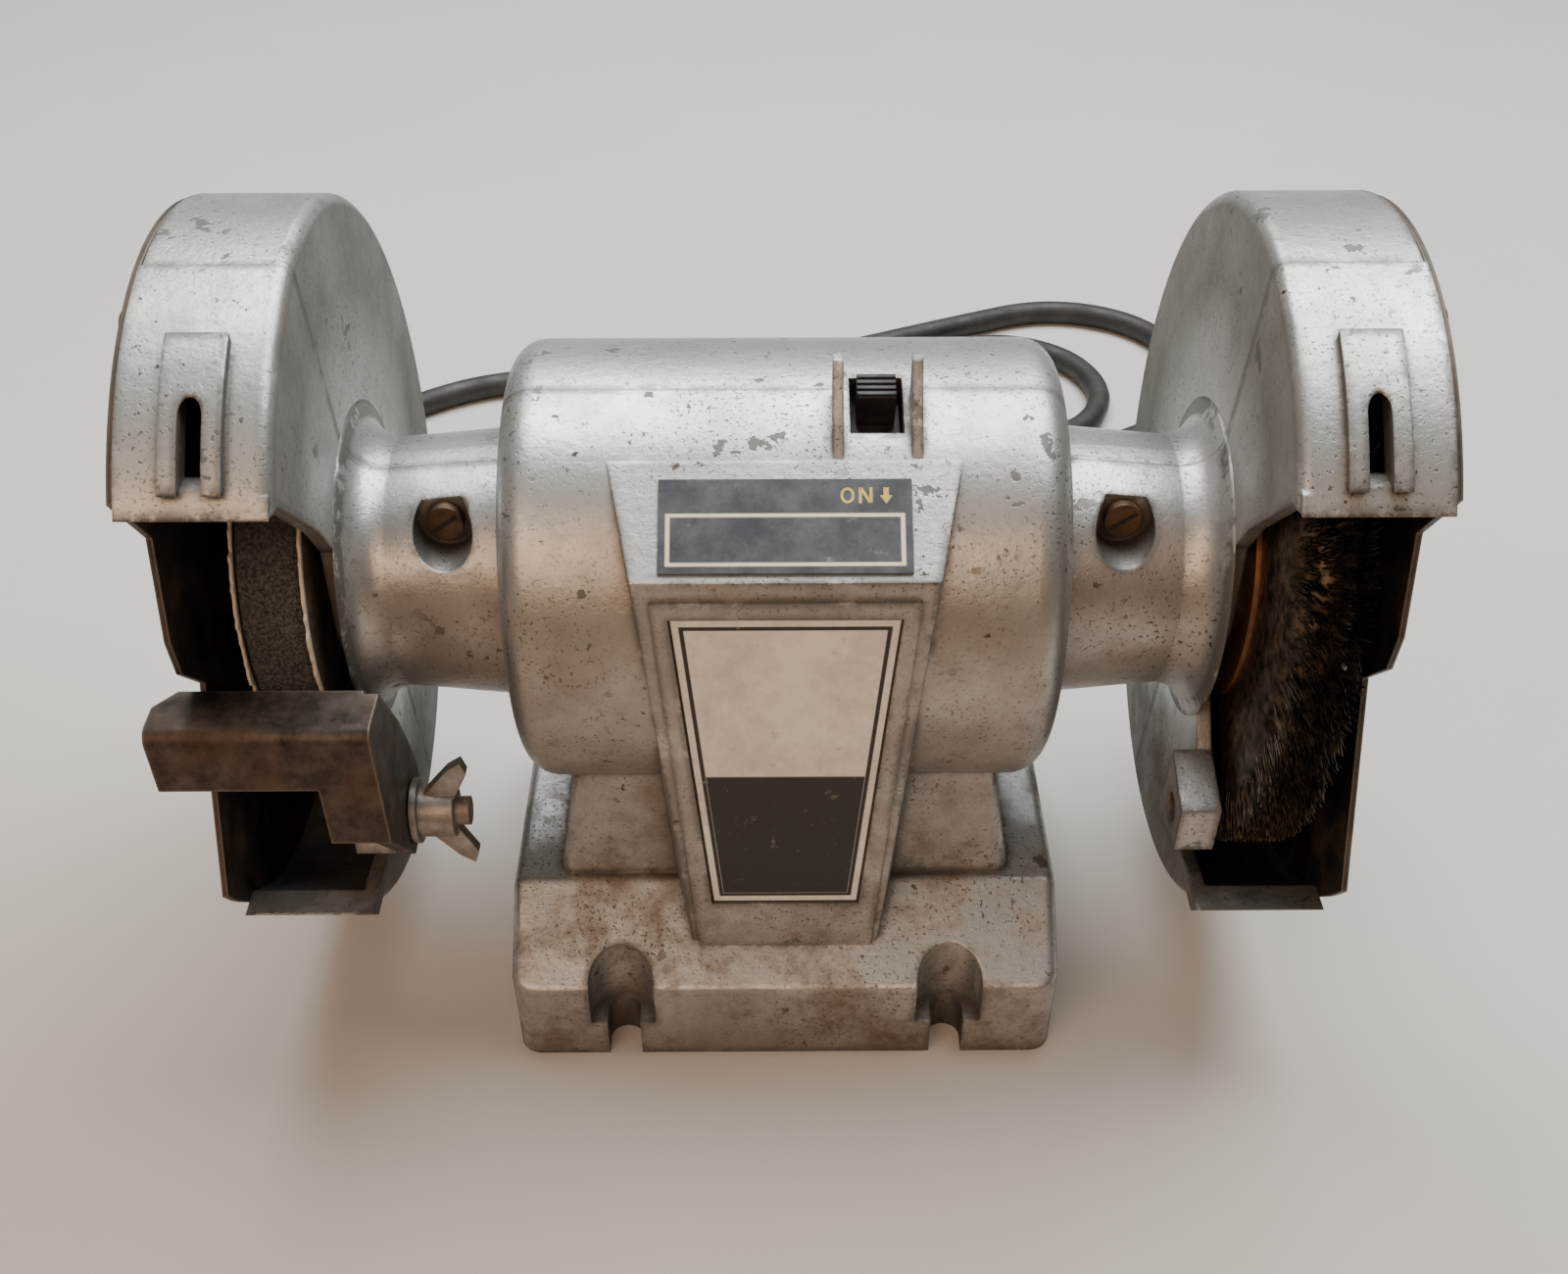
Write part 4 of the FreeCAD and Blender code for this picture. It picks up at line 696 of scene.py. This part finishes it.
def wire_tubes(across, swing, radius):
    """A thin tube round each line, with three corners at each station.

    Corner c stands off the line by the wire's radius times cos c round the rim plus sin c along the shaft.
    """
    centre = np.stack([across, radius * np.sin(swing), SHAFT_Z + radius * np.cos(swing)], axis=-1)
    round_rim = np.stack([np.zeros_like(swing), np.cos(swing), -np.sin(swing)], axis=-1)
    along_shaft = np.array([1.0, 0.0, 0.0])
    turn = 2 * np.pi * np.arange(CORNERS)[:, None] / CORNERS
    offset = np.cos(turn) * round_rim[:, :, None, :] + np.sin(turn) * along_shaft
    points = centre[:, :, None, :] + WIRE_RADIUS * offset
    one, step, corner = np.indices((WIRES, STATIONS - 1, CORNERS))
    start = (one * STATIONS + step) * CORNERS
    stop = start + CORNERS
    after = (corner + 1) % CORNERS
    faces = np.stack([start + corner, start + after, stop + after, stop + corner], axis=-1)
    return points.reshape(-1, 3), faces.reshape(-1, 4)


mesh_piece("wire_strands", *wire_tubes(*wire_lines()), wire_steel, "rotor", "wire_fill")

# %% [markdown]
# ## Grinding wheel and paper discs
# The stone is worn: its face is a little hollow and its edges are chipped, and the paper discs beside
# it are torn. The CAD wheel is a clean ring, and a displaced copy of it would need many cuts first. So
# each is turned again from a profile, with random steps round the edge that run into each other.

# %% Worn wheel
BORE = 0.0066
STONE_SIDE = [(0.0, BORE), (0.0, WHEEL_RADIUS - 0.0015), (0.0006, WHEEL_RADIUS - 0.0004),
              (0.002, WHEEL_RADIUS - 0.0002)]
STONE_HOLLOW = WHEEL_RADIUS - 0.00055
STONE_STEPS = 360
STONE_KNOTS = 150
STONE_CHIP = 0.0032
# how much of the chipping each point of the profile takes
STONE_CHIPPED = [0, 1, 1, 0.4, 0.3, 0.4, 1, 1, 0]


def frayed(count, columns, amount, cells):
    """Radius factors round a ring: one plus random knots, joined by straight lines, times each column."""
    knots = rng.standard_normal(cells)
    turn = np.arange(count) * cells / count
    low = np.floor(turn).astype(int)
    share = turn - low
    value = knots[low % cells] * (1 - share) + knots[(low + 1) % cells] * share
    return 1 + amount * value[:, None] * np.asarray(columns)[None, :]


stone_middle = ((wheel_low.x + wheel_high.x) / 2, STONE_HOLLOW)
stone_profile = two_sided(STONE_SIDE, wheel_low.x, wheel_high.x, [stone_middle])
stone_chips = frayed(STONE_STEPS, STONE_CHIPPED, STONE_CHIP, STONE_KNOTS)
stone_shape = lathe(stone_profile, STONE_STEPS, stone_chips)
stone = mesh_piece("worn_wheel", *stone_shape, stone_grit, "rotor", "wheel_grit")
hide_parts("grinding_wheel")

# %% Torn paper discs
PAPER_SIDE = [(0.0, BORE), (0.0, WHEEL_RADIUS + 0.0006)]
PAPER_STEPS = 420
PAPER_KNOTS = 190
PAPER_TEAR = 0.011
PAPER_MOST = 1.012
for name in ("inner_blotter", "outer_blotter"):
    low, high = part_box(name)
    torn = np.minimum(frayed(PAPER_STEPS, [0, 1, 1, 0], PAPER_TEAR, PAPER_KNOTS), PAPER_MOST)
    disc = lathe(two_sided(PAPER_SIDE, low.x, high.x), PAPER_STEPS, torn)
    sheet = mesh_piece(name + "_frayed", *disc, torn_paper, "rotor", "blotter_paper", False)
    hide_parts(name)

# %% [markdown]
# ## Cord
# A limp rubber lead leaves the strain relief, drops to the bench, lies in two loose loops behind the
# housing and ends in its plug. A physics run could drop it there, but its shape would be hard to steer.
# So the route is a list of given points, joined by a smooth curve with a round bevel.

# %% Route of the cord
# all in millimetres, and FLOOR is the height of the cord's middle where it lies on the bench
FLOOR = 4.1
CORD_ROUTE = [
    (20, 49.4, 85), (20, 82, 85), (20.5, 118, 75), (23, 152, 48), (32, 184, 20), (60, 206, FLOOR),
    (100, 213, FLOOR), (117, 240, FLOOR), (108, 271, FLOOR), (79, 285, FLOOR), (28, 266, FLOOR),
    (-28, 247, FLOOR), (-76, 234, FLOOR), (-91, 210, FLOOR), (-83, 183, FLOOR), (-59, 168, FLOOR),
    (-8, 178, FLOOR), (52, 187, FLOOR), (106, 203, FLOOR), (140, 226, FLOOR), (152, 262, FLOOR),
    (138, 298, FLOOR), (104, 312, FLOOR), (68, 297, FLOOR), (8, 269, FLOOR), (-52, 257, FLOOR),
    (-98, 256, FLOOR), (-130, 238, FLOOR), (-158, 204, FLOOR), (-156, 164, FLOOR), (-124, 134, FLOOR),
    (-80, 128, FLOOR), (-52, 129, 11.5), (-34, 130.5, 13.2), (-17, 132.3, 13.2),
]
route = np.ones((len(CORD_ROUTE), 4))
route[:, :3] = np.array(CORD_ROUTE) / 1000
strides = np.linalg.norm(np.diff(route[:, :3], axis=0), axis=1)
print("cord: %d points, %.2f m from point to point, the curve a little less" % (len(route), strides.sum()))

# %% Cord spline
curve = bpy.data.curves.new("cord", "CURVE")
curve.dimensions = "3D"
curve.bevel_depth = 0.004
curve.bevel_resolution = 6
curve.resolution_u = 12
curve.use_fill_caps = True
spline = curve.splines.new("NURBS")
spline.points.add(len(route) - 1)
spline.points.foreach_set("co", route.ravel())
spline.order_u = 3
spline.use_endpoint_u = True
curve.materials.append(cord_rubber)
cord = bpy.data.objects.new("cord", curve)
bpy.context.scene.collection.objects.link(cord)
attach(cord, "frame")
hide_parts("power_cord")
print("cord: %.1f mm thick" % (2000 * curve.bevel_depth))

# %% [markdown]
# ## Switch marking
# A yellow word and an arrow on the shelf plate show the way to slide the knob. A text object could be
# turned into a mesh, but two letters and an arrow are few enough to draw as flat shapes, in millimetres
# on the plate, which are then tipped to its slope.

# %% Slope of the shelf plate
# millimetres that the shelf drops, and its run from back to front
SHELF_FALL = 12.9
SHELF_RUN = 21.1
PLATE_THICK = 0.0006
PRINT_LIFT = 0.00066
plate_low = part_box("switch_plate")[0]
shelf_lean = math.atan2(SHELF_FALL, SHELF_RUN)
lean_turn = np.array(Matrix.Rotation(shelf_lean, 3, "X"))
plate_corner = np.array([0, plate_low.y + PLATE_THICK * math.sin(shelf_lean), plate_low.z])


def on_plate(points):
    """Points in millimetres (right, up the slope), lifted just off the plate and turned to its slope."""
    flat = np.column_stack([np.asarray(points, float) / 1000, np.full(len(points), PRINT_LIFT)])
    return flat @ lean_turn.T + plate_corner


print("shelf plate leans %.1f degrees" % math.degrees(shelf_lean))

# %% Letters and arrow
MARK_FOOT = 14.0
MARK_TOP = 17.2
ARROW_NECK = 15.6
YELLOW_FRESH = (0.75, 0.55, 0.10)
YELLOW_FADED = (0.45, 0.33, 0.10)


def yellow_finish():
    """Two yellows mixed by noise."""
    coat = Finish("yellow_print")
    tone = coat.mix(coat.band(coat.noise(300, 4), 0.4, 0.7), YELLOW_FRESH, YELLOW_FADED)
    return coat.finish(tone, 0.0, 0.5)


def oval(x, y, half_wide, half_high, stroke, steps=28):
    """Flat ring: the ellipse (cos t, sin t) at two sizes, one stroke apart, joined by quads."""
    turn = np.linspace(0, 2 * np.pi, steps, endpoint=False)
    way = np.column_stack([np.cos(turn), np.sin(turn)])
    outer = (x, y) + way * (half_wide, half_high)
    inner = (x, y) + way * (half_wide - stroke, half_high - stroke)
    index = np.arange(steps)
    after = (index + 1) % steps
    return np.vstack([outer, inner]), np.stack([index, after, steps + after, steps + index], axis=-1)


upright_points = [(left + wide, height) for left in (13.7, 15.7)
                  for wide, height in ((0, MARK_FOOT), (0.55, MARK_FOOT), (0.55, MARK_TOP), (0, MARK_TOP))]
slant_points = [(13.75, MARK_TOP), (14.4, MARK_TOP), (16.2, MARK_FOOT), (15.55, MARK_FOOT)]
arrow_points = [(18.3, MARK_TOP), (18.3, ARROW_NECK), (19.3, ARROW_NECK), (19.3, MARK_TOP),
                (17.6, ARROW_NECK), (18.8, 13.9), (20.0, ARROW_NECK), (18.8, ARROW_NECK)]
marks = {
    "mark_o": oval(11.6, 15.6, 1.3, 1.6, 0.5),
    "mark_n": (upright_points + slant_points, np.array([(0, 1, 2, 3), (4, 5, 6, 7), (8, 11, 10, 9)])),
    "mark_arrow": (arrow_points, np.array([(0, 1, 2, 3), (4, 5, 6, 7)])),
}
yellow_print = yellow_finish()
for name, (points, faces) in marks.items():
    mesh_piece(name, on_plate(points), faces, yellow_print, "frame", "switch_sheet", False)

# %% [markdown]
# ## Screw slots
# The two screws in the necks face the viewer, so their drive slots show. A slot could be cut into the
# CAD head, but at this size a near-black bar of painted shade just off the head looks the same.

# %% Bars on the screw heads
SLOT_HALF_LONG = 0.0031
SLOT_HALF_WIDE = 0.00045
SLOT_LIFT = 0.00006
SLOT_TURN = math.radians(35)
ONE_FACE = np.array([(0, 1, 2, 3)])
# painted shade: a near-black bar stands for the shaded inside of each slot
slot_painted_shade = Finish("painted_slot_shade").finish((0.02, 0.016, 0.012), 0.2, 0.8)
corners = np.array([(-1, -1), (1, -1), (1, 1), (-1, 1)]) * (SLOT_HALF_LONG, SLOT_HALF_WIDE)
bar = corners @ np.array(Matrix.Rotation(SLOT_TURN, 2)).T
for name in ("left_neck_screw", "right_neck_screw"):
    low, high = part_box(name)
    middle = (low + high) / 2
    depth = np.full(len(bar), low.y - SLOT_LIFT)
    slot_points = np.column_stack([middle.x + bar[:, 0], depth, middle.z + bar[:, 1]])
    mesh_piece(name + "_slot", slot_points, ONE_FACE, slot_painted_shade, "frame", "plain_steel", False)

# %% [markdown]
# ## Studio
# The grinder stands on a pale floor with painted warm shade towards the viewer. The floor could be lit to
# look so, but a mix of colours across it is easier to steer. A broad soft light above and a little
# behind makes the bright tops and the shadows in front, and a weaker warm one stands in front and to
# the left.

# %% Floor
FLOOR_HALF = 6
FLOOR_PALE = (0.62, 0.60, 0.57)
FLOOR_PALER = (0.68, 0.66, 0.63)
# painted warm shade on the floor towards the viewer and a little to the left
FLOOR_PAINTED_WARM_SHADE = (0.40, 0.295, 0.225)


def floor_finish():
    """Two pale tones by a broad noise, which go over to a painted warm shade towards the viewer and a
    little to the left.
    """
    coat = Finish("pale_floor")
    tone = coat.mix(coat.noise(9, 3), FLOOR_PALE, FLOOR_PALER)
    slanting = coat.plus(coat.axis("Y"), coat.times(coat.axis("X"), 0.45))
    tone = coat.mix(coat.band(slanting, 0.02, -0.28, 0.0, 0.95), tone, FLOOR_PAINTED_WARM_SHADE)
    return coat.finish(tone, 0.0, 0.95)


floor_corners = [(x * FLOOR_HALF, y * FLOOR_HALF, 0) for x, y in ((-1, -1), (1, -1), (1, 1), (-1, 1))]
floor_mesh = bpy.data.meshes.new("floor")
floor_mesh.from_pydata(floor_corners, [], [(0, 1, 2, 3)])
floor_mesh.materials.append(floor_finish())
floor = bpy.data.objects.new("floor", floor_mesh)
bpy.context.scene.collection.objects.link(floor)
floor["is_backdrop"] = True
print("floor:", 2 * FLOOR_HALF, "m wide")


# %% Lights
def area_light(name, spot, target, size, power, tint):
    """A rectangle of light at a spot, turned towards its target. Power is in watts."""
    data = bpy.data.lights.new(name, "AREA")
    data.shape = "RECTANGLE"
    data.size, data.size_y = size
    data.energy = power
    data.color = tint
    lamp = bpy.data.objects.new(name, data)
    lamp.location = spot
    lamp.rotation_euler = (Vector(target) - Vector(spot)).to_track_quat("-Z", "Y").to_euler()
    bpy.context.scene.collection.objects.link(lamp)
    print(name, "light:", power, "W")


area_light("key", (0.12, 0.42, 1.1), (0, 0, 0.08), (1.2, 0.8), 24, (0.97, 0.985, 0.98))
area_light("fill", (-0.35, -0.95, 0.8), (0, 0, 0.06), (1.3, 0.7), 8.0, (1.0, 0.66, 0.43))

# %% [markdown]
# ### Room
# Silver paint shows the room that it mirrors: pale above and behind, dim and brown in front. A picture
# of a room would give richer reflections, but a plain change of colour along one direction is enough
# for paint this dull.

# %% Room
ROOM_BROWN = (0.15, 0.088, 0.052)
ROOM_PALE = (0.92, 0.91, 0.885)
PALE_WAY = (-0.1, 0.62, 0.78)
ROOM_STRENGTH = 0.40
world = bpy.data.worlds.new("studio")
world.use_nodes = True
room = NodeSums(world.node_tree, "Generated")
pale_share = room.band(room.dot(room.coords, PALE_WAY), -0.45, 0.75)
background = room.tree.nodes["Background"]
room.put(background.inputs["Color"], room.mix(pale_share, ROOM_BROWN, ROOM_PALE))
room.put(background.inputs["Strength"], ROOM_STRENGTH)
bpy.context.scene.world = world
print("room strength:", ROOM_STRENGTH)

# %% [markdown]
# ## Camera
# The viewer looks down on the front of the grinder. A camera can be aimed by eye, but this one was
# solved from the photograph: the guards' circles, the base's corners and the plate's outline gave the
# lens, its upward shift, the place and the two axes of the picture.

# %% Camera
CAMERA_SPOT = (-0.00228, -0.30282, 0.29862)
PICTURE_RIGHT = (1, -0.0075, 0.0003)
PICTURE_UP = (0.005, 0.69978, 0.71434)
camera_data = bpy.data.cameras.new("camera")
camera_data.sensor_fit = "HORIZONTAL"
camera_data.sensor_width = 36
camera_data.lens = 38.4
camera_data.shift_y = 0.154
camera_data.clip_start = 0.02
camera = bpy.data.objects.new("camera", camera_data)
right = Vector(PICTURE_RIGHT).normalized()
back = right.cross(Vector(PICTURE_UP).normalized()).normalized()
turned = Matrix((right, back.cross(right), back)).transposed().to_4x4()
camera.matrix_world = Matrix.Translation(CAMERA_SPOT) @ turned
bpy.context.scene.collection.objects.link(camera)
bpy.context.scene.camera = camera
print("camera: %.1f mm lens" % camera_data.lens)

# %% [markdown]
# ## Size
# The last step measures the dressed part and prints its size. It could be measured by eye in the viewport.

# %% Sizes and finish
low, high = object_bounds()
print("size in metres:", [round(far - near, 4) for near, far in zip(low, high)])
